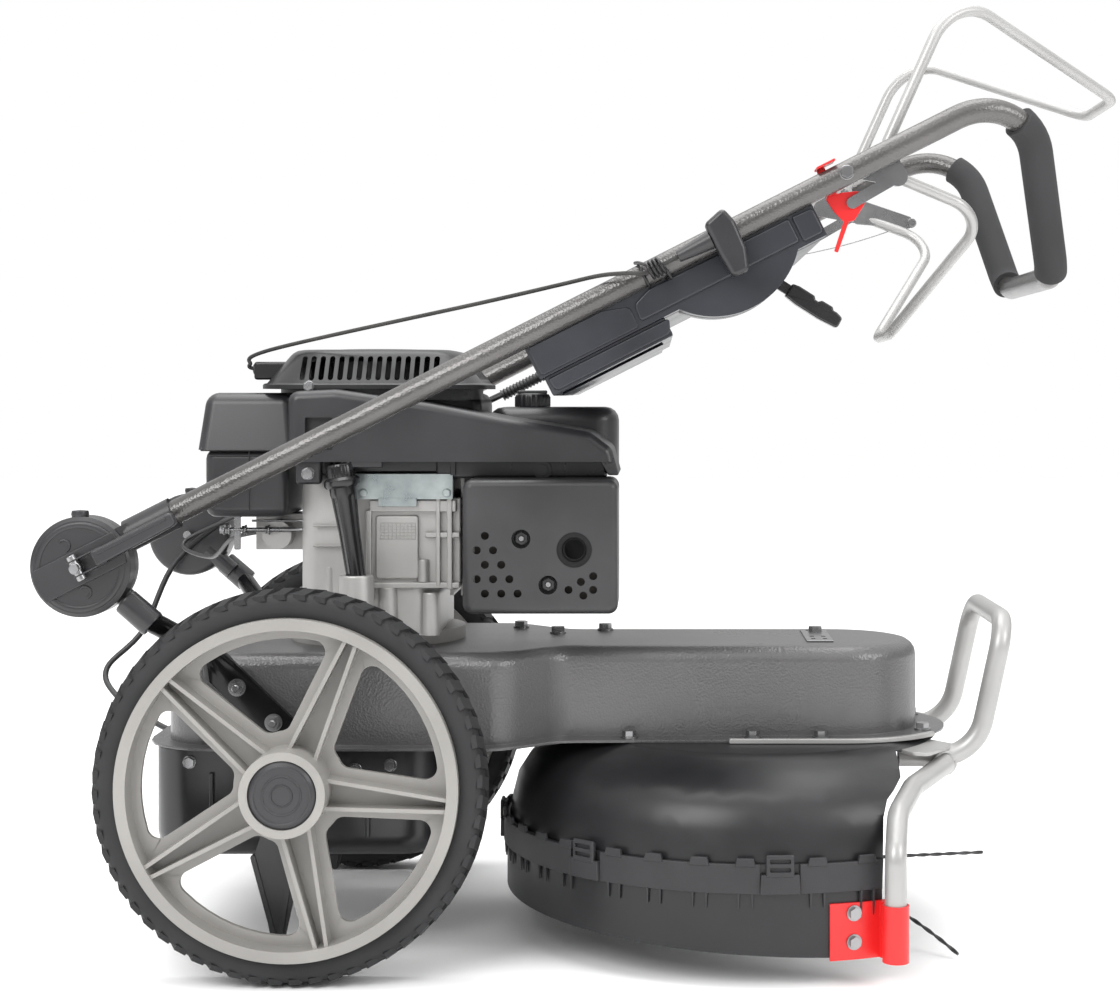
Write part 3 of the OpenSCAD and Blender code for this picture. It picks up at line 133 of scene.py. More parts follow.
# Starter rope: a braided 4.4 mm cord from the recoil housing over the right tube, through the
# rope guide and into the pull handle.
def finish(name, dark, light, rough, metallic=0.0, patch=9.0, grain=900.0, bump=0.2, depth=0.0003,
           pebbled=False, shine=0.5):
    """Surface with two close tones in soft patches, uneven gloss and a fine relief, in metres."""
    uneven = 0.06
    made = bpy.data.materials.new(name)
    made.use_nodes = True
    tree = made.node_tree
    shader = tree.nodes["Principled BSDF"]
    shader.inputs["Metallic"].default_value = metallic
    shader.inputs["Specular IOR Level"].default_value = shine
    where, tones = shader_node(tree, "TexCoord"), shader_node(tree, "ValToRGB")
    patches = shader_node(tree, "TexNoise", Scale=patch, Detail=5)
    for stop, position, tone in zip(tones.color_ramp.elements, (0.32, 0.68), (dark, light)):
        stop.position, stop.color = position, (*tone, 1)
    gloss = shader_node(
        tree, "MapRange", From_Min=0.3, From_Max=0.7, To_Min=rough - uneven, To_Max=rough + uneven)
    relief = shader_node(tree, "TexVoronoi" if pebbled else "TexNoise", Scale=grain)
    raised = shader_node(tree, "Bump", Strength=bump, Distance=depth)
    link_up(
        tree, (where, "Object", patches, "Vector"), (patches, "Fac", tones, "Fac"),
        (tones, "Color", shader, "Base Color"), (patches, "Fac", gloss, "Value"),
        (gloss, "Result", shader, "Roughness"), (where, "Object", relief, "Vector"),
        (relief, "Distance" if pebbled else "Fac", raised, "Height"), (raised, "Normal", shader, "Normal"))
    return made


def smooth_run(points, steps=8):
    """Smooth line through given points."""
    points = [Vector(p) for p in points]
    run = []
    for i in range(len(points) - 1):
        a, b, c, d = points[max(i - 1, 0)], points[i], points[i + 1], points[min(i + 2, len(points) - 1)]
        for j in range(steps):
            t = j / steps
            run.append(0.5 * (2 * b + (c - a) * t + (2 * a - 5 * b + 4 * c - d) * t * t
                              + (3 * b - a - 3 * c + d) * t ** 3))
    return run + [points[-1]]


def add_piece(name, mesh, material, crisp=40):
    """Object at the origin from a mesh that is already in place, smooth but for edges over crisp degrees."""
    mesh.name = name
    mesh.materials.clear()
    mesh.materials.append(material)
    mesh.polygons.foreach_set("use_smooth", [True] * len(mesh.polygons))
    mesh.set_sharp_from_angle(angle=radians(crisp))
    made = show(name, mesh)
    even = made.modifiers.new("even_flats", "WEIGHTED_NORMAL")
    even.keep_sharp = True
    return made


def swept(name, path, radius, fineness=4, profile=None, turn=0.0):
    """Mesh of a round rod, or of a profile curve turned a little at each step, drawn along a path."""
    line = bpy.data.curves.new(name, "CURVE")
    line.dimensions = "3D"
    line.use_fill_caps = True
    line.bevel_resolution = fineness
    if profile:
        line.bevel_mode, line.bevel_object = "OBJECT", profile
    else:
        line.bevel_depth = radius
    spline = line.splines.new("POLY")
    spline.points.add(len(path) - 1)
    for i, (point, place) in enumerate(zip(spline.points, path)):
        point.co = (*place, 1)
        point.tilt = turn * i
    holder = show(name, line)
    ready = holder.evaluated_get(bpy.context.evaluated_depsgraph_get())
    mesh = bpy.data.meshes.new_from_object(ready)
    bpy.data.objects.remove(holder)
    bpy.data.curves.remove(line)
    return mesh


rise = radians(26.8)
fold = Vector((-0.6955, 0, 0.421))
along, square_up = Vector((cos(rise), 0, sin(rise))), Vector((-sin(rise), 0, cos(rise)))


def on_handle(u, y, v):
    """Point u along the folded handle from its fold axis, y to the left and v square to the tubes."""
    return fold + u * along + v * square_up + Vector((0, y, 0))


rope_out = Vector((-0.56, -0.049, 0.624))
rope_y, rope_v, rope_r = -0.2665, 0.007, 0.0022
rope_bend = on_handle(0.56, -0.205, 0.04)
braid = finish(
    "braided_rope", (0.02, 0.02, 0.02), (0.06, 0.058, 0.055), 0.75, grain=1400, bump=0.9, depth=0.0006,
    pebbled=True)
rope_path = smooth_run([
    rope_out, rope_out + Vector((-0.005, -0.002, 0.005)), rope_out + Vector((0.024, -0.016, 0.022)),
    on_handle(0.48, -0.17, 0.062), rope_bend, on_handle(0.6, -0.238, 0.028), on_handle(0.624, rope_y, 0.017),
    on_handle(0.645, rope_y, rope_v), on_handle(0.66, rope_y, rope_v)], 24)
rope = add_piece("starter_rope_run", swept("run", rope_path, rope_r), braid)
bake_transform(rope)
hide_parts("starter_rope")
tail_path = [on_handle(0.652 + 0.002 * i, rope_y, rope_v) for i in range(20)]
tail = add_piece("starter_rope_tail", swept("tail", tail_path, rope_r), braid)
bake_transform(tail)

# Control cables: black sheathed inner wires that leave the console's lower end, follow the left tube
# to the fold and drop to the drive cover and the throttle; the thinner one starts in a ribbed sleeve.
sheath = finish("cable_sheath", (0.012, 0.012, 0.013), (0.03, 0.03, 0.032), 0.42, grain=2500, bump=0.1)
console_low, sleeve_y, cable_v = 0.499, 0.15, -0.024
drive_path = smooth_run([
    on_handle(console_low, 0.172, cable_v), on_handle(0.4, 0.19, -0.02), on_handle(0.22, 0.205, -0.016),
    on_handle(0.08, 0.205, -0.004), fold + Vector((-0.01, 0.202, -0.03)), (-0.744, 0.186, 0.306),
    (-0.783, 0.166, 0.262), (-0.768, 0.148, 0.232), (-0.72, 0.132, 0.203), (-0.685, 0.118, 0.191),
    (-0.649, 0.11, 0.19)])
throttle_path = smooth_run([
    on_handle(console_low, sleeve_y, cable_v), on_handle(console_low - 0.07, sleeve_y, cable_v),
    on_handle(0.38, 0.165, -0.022), on_handle(0.22, 0.19, -0.018), on_handle(0.08, 0.19, -0.008),
    fold + Vector((0, 0.19, -0.008)), fold + Vector((0.05, 0.12, -0.02)), (-0.6, 0.02, 0.43),
    (-0.563, -0.01, 0.44)])
for name, path, radius, from_chassis, to_handle in (
    ("drive_cable", drive_path, 0.0035, (-0.735, 0.19, 0.32), (-0.69, 0.205, 0.43)),
    ("throttle_cable", throttle_path, 0.0025, (-0.66, 0.13, 0.41), (-0.66, 0.185, 0.43)),
):
    cable = add_piece(name, swept(name, path, radius), sheath)
    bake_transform(cable)
    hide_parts("control_cables")


def at(x, y, z=0.0):
    """Place that is moved from the origin."""
    return Matrix.Translation((x, y, z))


def spin(angle, axis):
    """Place that is turned about an axis through the origin."""
    return Matrix.Rotation(angle, 4, axis)


sleeve_path = [on_handle(console_low - 0.0011 * i, sleeve_y, cable_v) for i in range(62)]
bm = bmesh.new()
ribs = []
for i, place in enumerate(sleeve_path):
    outer = 0.007 - (0.0012 if i % 4 > 1 else 0)
    ring = bmesh.ops.create_circle(bm, segments=20, radius=outer)["verts"]
    bmesh.ops.transform(bm, matrix=at(*place) @ spin(pi / 2 - rise, "Y"), verts=ring)
    ribs.append(list({e for v in ring for e in v.link_edges}))
for a, b in zip(ribs, ribs[1:]):
    bmesh.ops.bridge_loops(bm, edges=a + b)
for end in (ribs[0], ribs[-1]):
    bmesh.ops.extrude_edge_only(bm, edges=end)
sleeve = add_piece("ribbed_sleeve", to_mesh(bm), sheath, crisp=60)
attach(sleeve, "handle")

# Cutting line: four ends of 4 mm twisted nylon that stand out of the head's eyelets.
# Two show in front of the guard, one of them drooping almost to the floor.
nylon = finish(
    "twisted_nylon", (0.016, 0.016, 0.017), (0.055, 0.054, 0.056), 0.35, patch=60, grain=1200, bump=0.1)
strand = bpy.data.curves.new("strand", "CURVE")
lobes = strand.splines.new("POLY")
lobes.points.add(23)
for i, point in enumerate(lobes.points):
    a = tau * i / 24
    reach = 0.0014 + 0.0008 * cos(a) ** 2
    point.co = (reach * cos(a), reach * sin(a), 0, 1)
lobes.use_cyclic_u = True
strand_profile = show("strand", strand)
head_r, line_len, line_z, line_r, inside = 0.064, 0.204, 0.062, 0.002, 0.018
for i, (angle, drop) in enumerate(((8, 0.004), (-40, -0.056), (188, 0.0), (140, -0.002))):
    around = Matrix.Rotation(radians(angle), 3, "Z")
    path = [around @ Vector((head_r - inside + (line_len + inside) * t, 0.006 * sin(pi * t),
                             line_z + drop * t * t)) for t in (k / 120 for k in range(121))]
    twisted = swept("line", path, line_r, profile=strand_profile, turn=0.36)
    line = add_piece(f"cutting_line_{i}", twisted, nylon)
    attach(line, "cutter")
    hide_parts("trimmer_lines")
bpy.data.objects.remove(strand_profile)
bpy.data.curves.remove(strand)


# Deck: pressed steel sheet with a rolled flange, in dark grey hammered paint. Its thin top carries
# the engine, its long nose the cutting spindle, and a zinc plate closes the belt adjuster's hole.
shading = bpy.data.node_groups.new("edge_shading", "GeometryNodeTree")
shading.interface.new_socket("Geometry", in_out="INPUT", socket_type="NodeSocketGeometry")
shading.interface.new_socket("Geometry", in_out="OUTPUT", socket_type="NodeSocketGeometry")
into, out = shading.nodes.new("NodeGroupInput"), shading.nodes.new("NodeGroupOutput")
all_soft, edges_soft = [shading.nodes.new("GeometryNodeSetShadeSmooth") for _ in range(2)]
edges_soft.domain = "EDGE"
fold_angle = shading.nodes.new("GeometryNodeInputMeshEdgeAngle")
gentle = shading.nodes.new("FunctionNodeCompare")
gentle.operation = "LESS_THAN"
gentle.inputs["B"].default_value = radians(36)
link_up(
    shading, (into, 0, all_soft, "Geometry"), (all_soft, "Geometry", edges_soft, "Geometry"),
    (fold_angle, "Unsigned Angle", gentle, "A"), (gentle, "Result", edges_soft, "Shade Smooth"),
    (edges_soft, "Geometry", out, 0))


def dress(material, edge, *names):
    """Gives solids of the frame their finish, with their corners rounded by edge."""
    for name in names:
        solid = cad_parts[name]
        solid.data.materials.clear()
        solid.data.materials.append(material)
        weld = solid.modifiers.new("weld", "WELD")
        weld.merge_threshold = 2e-5
        if edge:
            rounded = solid.modifiers.new("rounded", "BEVEL")
            rounded.width, rounded.segments = edge, 2
            rounded.limit_method, rounded.angle_limit = "ANGLE", radians(38)
        shaded = solid.modifiers.new("shaded", "NODES")
        shaded.node_group = shading
        even = solid.modifiers.new("even_flats", "WEIGHTED_NORMAL")
        even.keep_sharp = True


def fit(piece, body, slot, *nodes):
    """Hangs a piece on its body and puts it in the place of solids of the frame; slot is not used."""
    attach(piece, body)
    if nodes:
        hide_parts(*nodes)
    return piece


def merged(meshes):
    """One mesh out of several, which it uses up."""
    bm = bmesh.new()
    for mesh in meshes:
        bm.from_mesh(mesh)
        bpy.data.meshes.remove(mesh)
    return to_mesh(bm)


def round_edges(bm, edges, width, segments):
    """Gives edges of a bmesh an even rounding."""
    bmesh.ops.bevel(bm, geom=edges, offset=width, affect="EDGES", segments=segments, profile=0.5, material=-1)


def block(low, high, edge, place=None, taper=1.0, segments=3):
    """Box between two corners with rounded edges, drawn in towards its top by taper."""
    bm = bmesh.new()
    bmesh.ops.create_cube(bm, size=1)
    for v in bm.verts:
        if v.co.z > 0:
            v.co.x *= taper
            v.co.y *= taper
    low, high = Vector(low), Vector(high)
    bmesh.ops.scale(bm, vec=high - low, verts=bm.verts)
    bmesh.ops.translate(bm, vec=(high + low) / 2, verts=bm.verts)
    round_edges(bm, bm.edges, edge, segments)
    return to_mesh(bm, place)


def build(name, meshes, material, body, slot, *nodes, crisp=40):
    """One piece out of several meshes, hung on its body in the place of solids of the frame."""
    return fit(add_piece(name, merged(meshes), material, crisp), body, slot, *nodes)


def pierced(mesh, cutters):
    """Mesh with the cutters' shapes taken out of it."""
    tool_mesh = merged(cutters)
    blank, tool = show("blank", mesh), show("tool", tool_mesh)
    cut = blank.modifiers.new("cut", "BOOLEAN")
    cut.object, cut.solver = tool, "EXACT"
    result = bpy.data.meshes.new_from_object(blank.evaluated_get(bpy.context.evaluated_depsgraph_get()))
    for thing, data in ((blank, mesh), (tool, tool_mesh)):
        bpy.data.objects.remove(thing)
        bpy.data.meshes.remove(data)
    return result


hammered = finish(
    "hammered_paint", (0.103, 0.101, 0.102), (0.133, 0.13, 0.132), 0.31, metallic=0.35, patch=5, grain=420,
    bump=0.5, depth=0.0006, pebbled=True)
zinc = finish("zinc_plate", (0.21, 0.21, 0.215), (0.34, 0.34, 0.345), 0.27, metallic=0.9, grain=900, bump=0.1)
dress(hammered, 0.0012, "deck_shell")
deck_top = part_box("deck_shell")[1][2]
hatch = pierced(
    block((0.055, -0.052, deck_top), (0.085, 0.06, deck_top + 0.002), 0.0007),
    [block((x, y, deck_top - 0.01), (x + 0.005, y + 0.008, deck_top + 0.01), 0.001) for x in (0.061, 0.074)
     for y in (-0.04, -0.018, 0.04)])
build("adjuster_plate", [hatch], zinc, "chassis", "steel")

# Debris guard, skirt and strap: black moulded plastic round the back and sides of the cutting circle.
# The strap with its buckles clamps the softer skirt to the guard's lower edge.
moulded = finish(
    "black_moulding", (0.015, 0.0149, 0.0165), (0.025, 0.0248, 0.0275), 0.36, grain=700, bump=0.22,
    shine=0.52)
flexible = finish(
    "skirt_plastic", (0.0085, 0.0085, 0.0095), (0.0155, 0.0155, 0.017), 0.34, grain=500, bump=0.13,
    shine=0.42)
webbing = finish(
    "strap_plastic", (0.021, 0.021, 0.0225), (0.033, 0.033, 0.0355), 0.48, grain=800, bump=0.3, shine=0.35)
dress(flexible, 0.001, "debris_guard")
dress(flexible, 0.0006, "guard_skirt")
wall_r, strap_low, strap_high, half_gap = 0.2816, 0.0965, 0.1262, radians(4.1)
strap_end = acos(0.116 / 0.286)


def about(angle, side=1):
    """Place on the guard's round wall at an angle from the front, where X points outwards."""
    return spin(side * angle, "Z")


def strap_arc(start, end):
    """Piece of the strap between two angles, with chamfered rims."""
    section = ((0, strap_low), (0.003, strap_low), (0.0036, strap_low + 0.0006),
               (0.0036, strap_high - 0.0006), (0.003, strap_high), (0, strap_high))
    steps = max(2, round(degrees(end - start)))
    bm = bmesh.new()
    angles = [start + (end - start) * k / steps for k in range(steps + 1)]
    rows = [[bm.verts.new(about(a) @ Vector((wall_r + out, 0, z))) for out, z in section] for a in angles]
    for here, there in zip(rows, rows[1:]):
        for k in range(len(section)):
            bm.faces.new((here[k - 1], here[k], there[k], there[k - 1]))
    bm.faces.new(rows[0])
    bm.faces.new(rows[-1])
    bmesh.ops.recalc_face_normals(bm, faces=bm.faces)
    return to_mesh(bm)


strap = []
buckle_angles = [radians(a) for a in (87.8, 130.8, 180, 229.2, 272.2)]
stops = [strap_end] + [a + s * half_gap for a in buckle_angles for s in (-1, 1)] + [tau - strap_end]
strap += [strap_arc(start, end) for start, end in zip(stops[::2], stops[1::2])]
for angle in (69.5, 80.1, 94.8, 104.2, 114.0, 123.4, 136.6, 145.5, 154.5, 163.5, 172.5):
    for side in (-1, 1):
        tab = about(radians(angle), side)
        strap.append(block((wall_r, -0.0105, strap_high - 0.002),
                           (wall_r + 0.0048, 0.0105, strap_high + 0.0062), 0.0007, tab, 0.8))
        for shift in (-1.4, 1.4):
            rib = about(radians(angle + shift), side) @ spin(pi, "X")
            rib_out, rib_low = (0.0052, 0.0715) if angle < 70 else (0.003, 0.0815)
            strap.append(block((wall_r - 0.0004, -0.0013, -strap_low - 0.001),
                               (wall_r + rib_out, 0.0013, -rib_low), 0.0003, rib, 0.45))
for angle in buckle_angles:
    spot = about(angle)
    slots = [block((wall_r - 0.01, -0.0105, z), (wall_r + 0.02, 0.0105, z + 0.0046), 0.0012, spot)
             for z in (0.1195, 0.1278)]
    frame_plate = block((wall_r + 0.0036, -0.0142, 0.114), (wall_r + 0.0074, 0.0142, 0.1365), 0.0017, spot)
    strap.append(pierced(frame_plate, slots))
    strap.append(block((wall_r + 0.0002, -0.0125, 0.1165), (wall_r + 0.0042, 0.0125, 0.1345), 0.001, spot))
    foot_low, foot_high = (wall_r, -0.0204, strap_low + 0.0004), (wall_r + 0.0068, 0.0204, 0.1165)
    strap.append(block(foot_low, foot_high, 0.0012, spot, 0.95))
build("buckled_strap", strap, webbing, "chassis", "black_plastic", "skirt_strap")

# Bumper: one loop of 22 mm steel tube with two side legs welded on, in silver grey paint.
# Its feet stand in red sleeves that are bolted to the guard.
silver = finish(
    "silver_paint", (0.33, 0.327, 0.321), (0.4, 0.397, 0.389), 0.36, metallic=0.35, grain=600, bump=0.008)
red = finish("red_paint", (0.6, 0.01, 0.012), (0.72, 0.018, 0.018), 0.32, grain=1200, bump=0.05)


def rounded_path(points, radii, steps=14):
    """Corner points joined by straight runs, with a round bend at each inner corner."""
    points = [Vector(p) for p in points]
    path = [points[0]]
    for before, here, after, radius in zip(points, points[1:], points[2:], radii):
        a, b = (here - before).normalized(), (after - here).normalized()
        turn = a.angle(b)
        side = (b - a * a.dot(b)).normalized()
        centre = here - a * radius * tan(turn / 2) + side * radius
        path += [centre + radius * (sin(turn * j / steps) * a - cos(turn * j / steps) * side)
                 for j in range(steps + 1)]
    return path + [points[-1]]


def mirrored(points):
    """The points and then, backwards, their mirror images on the other side."""
    points = [Vector(p) for p in points]
    return points + [Vector((p.x, -p.y, p.z)) for p in reversed(points)]


def both_sides(meshes):
    """The meshes of the right side and their mirror images on the left."""
    images = []
    for mesh in meshes:
        image = mesh.copy()
        image.transform(Matrix.Scale(-1, 4, (0, 1, 0)))
        image.flip_normals()
        images.append(image)
    return list(meshes) + images


def soft_outline(corners, steps=4):
    """Closed outline through corners (across, up, radius), each rounded by its radius."""
    outline = []
    for i, (across, up, radius) in enumerate(corners):
        here, before = Vector((across, up)), Vector(corners[i - 1][:2])
        after = Vector(corners[(i + 1) % len(corners)][:2])
        back, on = (before - here).normalized(), (after - here).normalized()
        if radius:
            reach = radius / tan(back.angle(on) / 2)
            start, end = here + back * reach, here + on * reach
            outline += [start.lerp(here, k / steps).lerp(here.lerp(end, k / steps), k / steps)
                        for k in range(steps + 1)]
        else:
            outline.append(here)
    return outline


def square(across, up, end_across, end_up, radius):
    """Corners of a rectangle, all rounded by one radius."""
    return [
        (x, y, radius) for x, y in ((across, up), (end_across, up), (end_across, end_up), (across, end_up))]


def slab(outline, near, far, edge=0.0, place=None, segments=3):
    """Outline in the X-Z plane given depth from near to far along Y, with its rims rounded."""
    bm = bmesh.new()
    face = bm.faces.new([bm.verts.new((p[0], near, p[1])) for p in outline])
    grown = bmesh.ops.extrude_face_region(bm, geom=[face])["geom"]
    bmesh.ops.translate(
        bm, vec=(0, far - near, 0), verts=[v for v in grown if isinstance(v, bmesh.types.BMVert)])
    bmesh.ops.recalc_face_normals(bm, faces=bm.faces)
    if edge:
        round_edges(bm, [e for e in bm.edges if e.calc_face_angle(0) > 0.7], edge, segments)
    return to_mesh(bm, place)


def plate(corners, near, far, edge, place=None):
    """Slab whose outline runs through corners (across, up, radius)."""
    return slab(soft_outline(corners), near, far, edge, place)


def turned(profile, place=None, steps=40):
    """Profile of (radius, height) spun round the Z axis of its place."""
    bm = bmesh.new()
    ring = [bm.verts.new((r, 0, h)) for r, h in profile]
    edges = [bm.edges.new(pair) for pair in zip(ring, ring[1:])]
    bmesh.ops.spin(
        bm, geom=ring + edges, cent=(0, 0, 0), axis=(0, 0, 1), angle=tau, steps=steps, use_merge=True)
    bmesh.ops.remove_doubles(bm, verts=bm.verts, dist=1e-6)
    bmesh.ops.recalc_face_normals(bm, faces=bm.faces)
    return to_mesh(bm, place)


def peg(radius, low, high, chamfer, place, steps=24):
    """Round pin between two heights with a chamfered end."""
    return turned([
        (0, low), (radius, low), (radius, high - chamfer), (radius - chamfer, high), (0, high)], place,
        steps)


def bush(bore, radius, half, chamfer, place, steps=40):
    """Short tube round the Z axis of its place with chamfered rims."""
    return turned([
        (bore, -half), (radius - chamfer, -half), (radius, chamfer - half), (radius, half - chamfer),
        (radius - chamfer, half), (bore, half), (bore, -half)], place, steps)


def facing_right(x, y, z):
    """Place on a right-hand face, with its Z axis pointing out of the face."""
    return at(x, y, z) @ spin(pi / 2, "X")


def hex_bolt(place, across=0.013, height=0.006):
    """Flanged hexagon head with a rounded crown."""
    bm = bmesh.new()
    corner, flange = across / 1.73, across * 0.66
    bmesh.ops.create_cone(bm, cap_ends=True, segments=6, radius1=corner, radius2=corner, depth=height)
    bmesh.ops.translate(bm, vec=(0, 0, height / 2 + 0.001), verts=bm.verts)
    round_edges(bm, bm.edges, across * 0.06, 2)
    washer = turned([(0, 0), (flange, 0), (flange, 0.001), (across * 0.6, 0.0016), (0, 0.0016)], place, 24)
    return [to_mesh(bm, place), washer]


bumper_r, bumper_y, leg_x, leg_y = 0.011, 0.108, 0.127, 0.279
loop = rounded_path(
    mirrored([(0.15, -bumper_y, 0.203), (0.234, -bumper_y, 0.203), (0.266, -bumper_y, 0.35)]),
    [0.05, 0.034, 0.034, 0.05])
leg = rounded_path([
    (0.2, -bumper_y - 0.01, 0.197), (0.157, -0.18, 0.184), (leg_x + 0.006, 0.034 - leg_y, 0.168),
    (leg_x, -leg_y, 0.134), (leg_x, -leg_y, 0.032)], [0.04, 0.04, 0.024])
plan = Matrix(((1, 0, 0, 0), (0, 0, 1, 0), (0, 1, 0, 0), (0, 0, 0, 1)))
tab = plate([
    (0.128, -0.094, 0.012), (0.128, -0.048, 0.016), (0.172, -0.048, 0.016), (0.212, -0.1, 0.008),
    (0.206, -0.114, 0.006), (0.176, -0.158, 0.008), (0.16, -0.156, 0.008)], 0.2115, 0.2155, 0.001, plan)
nose_x, flange_r, plate_w, plate_end = 0.09, 0.1246, 0.007, -0.034
round_nose = [radians(4 * k - 90) for k in range(14)]
strip_edge = [(plate_end, -flange_r), (plate_end, -flange_r - plate_w)]
strip_edge += [(nose_x + (flange_r + plate_w) * cos(a), (flange_r + plate_w) * sin(a)) for a in round_nose]
strip_edge += [(nose_x + flange_r * cos(a), flange_r * sin(a)) for a in reversed(round_nose)]
strip = slab(strip_edge, 0.2204, 0.2254, 0.0008, plan)
for sheet in (tab, strip):
    sheet.flip_normals()
weld_x, weld_z, weld_r = 0.199, 0.198, 0.012
bead = []
for angle in (k * 0.4 for k in range(17)):
    across, up = cos(angle), sin(angle)
    bead.append(Vector((weld_x + weld_r * across, -bumper_y - 0.011 + 0.004 * across, weld_z + weld_r * up)))
one_side = [swept("leg", leg, bumper_r, 8), tab, strip, swept("weld", bead, 0.0022)]
bumper = [swept("loop", loop, bumper_r, 8)] + both_sides(one_side)
build("bumper_tube", bumper, silver, "chassis", "silver_paint", "bumper_bar")
dress(red, 0.001, "guard_brackets")

# Drive: a black moulded cover under the deck hides the gearbox, which sits on the wheels' axle.
# The skid plates behind the wheels and the bars to the fold knuckles are black painted steel.
cast = finish(
    "cast_aluminium", (0.36, 0.355, 0.345), (0.48, 0.47, 0.46), 0.45, metallic=0.55, grain=500, bump=0.35,
    depth=0.0004)
black_paint = finish("black_paint", (0.015, 0.015, 0.0163), (0.027, 0.027, 0.029), 0.3, grain=1000, bump=0.08)
belt_rubber = finish("belt_rubber", (0.012, 0.012, 0.012), (0.025, 0.025, 0.025), 0.7)
dress(moulded, 0.001, "transmission_cover")
dress(cast, 0.001, "gearbox_housing", "spindle_housing")
dress(zinc, 0.0005, "axle_shaft", "bearings", "fasteners", "spindle_shaft", "crankshaft", "spindle_pulley",
      "crank_pulley", "gearbox_pulley")
gloss_black = finish(
    "gloss_black", (0.004, 0.004, 0.0045), (0.008, 0.008, 0.009), 0.2, grain=800, bump=0.06, shine=0.3)
skid_paint = finish("skid_paint", (0.03, 0.03, 0.031), (0.046, 0.046, 0.048), 0.38, grain=900, bump=0.12)
dress(skid_paint, 0.0008, "rear_skids")
dress(gloss_black, 0.0008, "lower_bars")
dress(belt_rubber, 0.0005, "belts")
cover_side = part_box("transmission_cover")[0][1]
heads = [m for x, z in ((-0.606, 0.207), (-0.431, 0.199), (-0.394, 0.204))
         for m in hex_bolt(facing_right(x, cover_side, z), 0.011)]
cover_ribs = [
    block((x, cover_side - 0.004, 0.128), (x + 0.005, cover_side + 0.004, 0.196), 0.0015)
    for x in (-0.585, -0.545, -0.42)]
build("cover_bolts", both_sides(heads), zinc, "chassis", "steel")
build("cover_ribs", both_sides(cover_ribs), moulded, "chassis", "black_plastic")
nut_face = -0.1711
studs = [peg(0.004, -0.001, 0.004, 0.001, facing_right(x, nut_face, z))
         for x, z in ((-0.556, 0.2858), (-0.5174, 0.2485))]
build("bar_studs", both_sides(studs), zinc, "chassis", "steel")

# Wheels: light grey moulded rims with five twin-ribbed spokes, black hub caps and 400 mm rubber tyres
# with smooth sides, whose tread is a double row of slanted lugs that notch the shoulders.
rim_plastic = finish("rim_plastic", (0.225, 0.217, 0.205), (0.285, 0.275, 0.26), 0.32, grain=900, bump=0.1)
rubber = finish(
    "tyre_rubber", (0.017, 0.017, 0.018), (0.029, 0.029, 0.0305), 0.66, patch=14, grain=900, bump=0.3,
    shine=0.3)
dress(rim_plastic, 0.0006, "rim_right", "rim_left")
dress(moulded, 0.001, "hub_cap_right", "hub_cap_left")
axle = Vector((-0.482, 0, 0.2))
cap_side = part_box("hub_cap_right")[0][1]
cap_rings = []
for ring_r, ring_w in ((0.0285, 0.0012), (0.019, 0.001), (0.0105, 0.0008)):
    cap_rings.append(
        turned([(ring_r - ring_w, -0.0004), (ring_r - ring_w, 0.0004), (ring_r - ring_w / 2, 0.0009),
                (ring_r + ring_w / 2, 0.0009), (ring_r + ring_w, 0.0004), (ring_r + ring_w, -0.0004)],
               facing_right(axle.x, cap_side, axle.z), 64))


def each_side(meshes):
    """The names of the two sides, each with its meshes."""
    shapes = both_sides(meshes)
    return ("right", shapes[:len(meshes)]), ("left", shapes[len(meshes):])


for side, half in each_side(cap_rings):
    build(f"cap_rings_{side}", half, moulded, f"wheel_{side}", "black_plastic")
wheel_y, tyre_in, tyre_out, half_w = 0.255, 0.1721, 0.2, 0.025
lug_count, lug_h = 60, 0.0035
for side, way in (("right", -1), ("left", 1)):
    bm = bmesh.new()
    crown = tyre_out - lug_h
    section = [
        (tyre_in, -half_w + 0.002), (tyre_in + 0.006, -half_w), (crown - 0.009, -half_w + 0.0005),
        (crown - 0.004, -half_w + 0.003), (crown - 0.001, -half_w + 0.008), (crown, 0),
        (crown - 0.001, half_w - 0.008), (crown - 0.004, half_w - 0.003), (crown - 0.009, half_w - 0.0005),
        (tyre_in + 0.006, half_w), (tyre_in, half_w - 0.002)]
    ring = [bm.verts.new((r, y, 0)) for r, y in section]
    edges = [bm.edges.new((a, b)) for a, b in zip(ring, ring[1:] + ring[:1])]
    bmesh.ops.spin(
        bm, geom=ring + edges, cent=(0, 0, 0), axis=(0, 1, 0), angle=tau, steps=160, use_merge=True)
    bmesh.ops.recalc_face_normals(bm, faces=bm.faces)
    for row in (-1, 1):
        lug = bmesh.ops.create_cube(bm, size=1)["verts"]
        bmesh.ops.scale(bm, vec=(0.01, 0.023, 0.0145), verts=lug)
        for v in lug:
            if v.co.x > 0:
                v.co.z *= 0.86
            if v.co.y * row > 0 and v.co.x > 0:
                v.co.x -= 0.0045
        bmesh.ops.transform(
            bm, matrix=at(tyre_out - 0.005, row * 0.0128) @ spin(row * radians(18), "X"), verts=lug)
        bmesh.ops.rotate(bm, cent=(0, 0, 0), matrix=Matrix.Rotation(radians(row * 1.5), 3, "Y"), verts=lug)
        geom = [*lug, *{e for v in lug for e in v.link_edges}, *{f for v in lug for f in v.link_faces}]
        bmesh.ops.spin(bm, geom=geom, cent=(0, 0, 0), axis=(0, 1, 0),
                       angle=tau * (lug_count - 1) / lug_count, steps=lug_count - 1, use_duplicate=True)
    tyre_mesh = to_mesh(bm, at(axle.x, way * wheel_y, axle.z))
    tyre = add_piece(f"treaded_tyre_{side}", tyre_mesh, rubber, crisp=34)
    fit(tyre, f"wheel_{side}", "tyre_rubber", f"tyre_{side}")

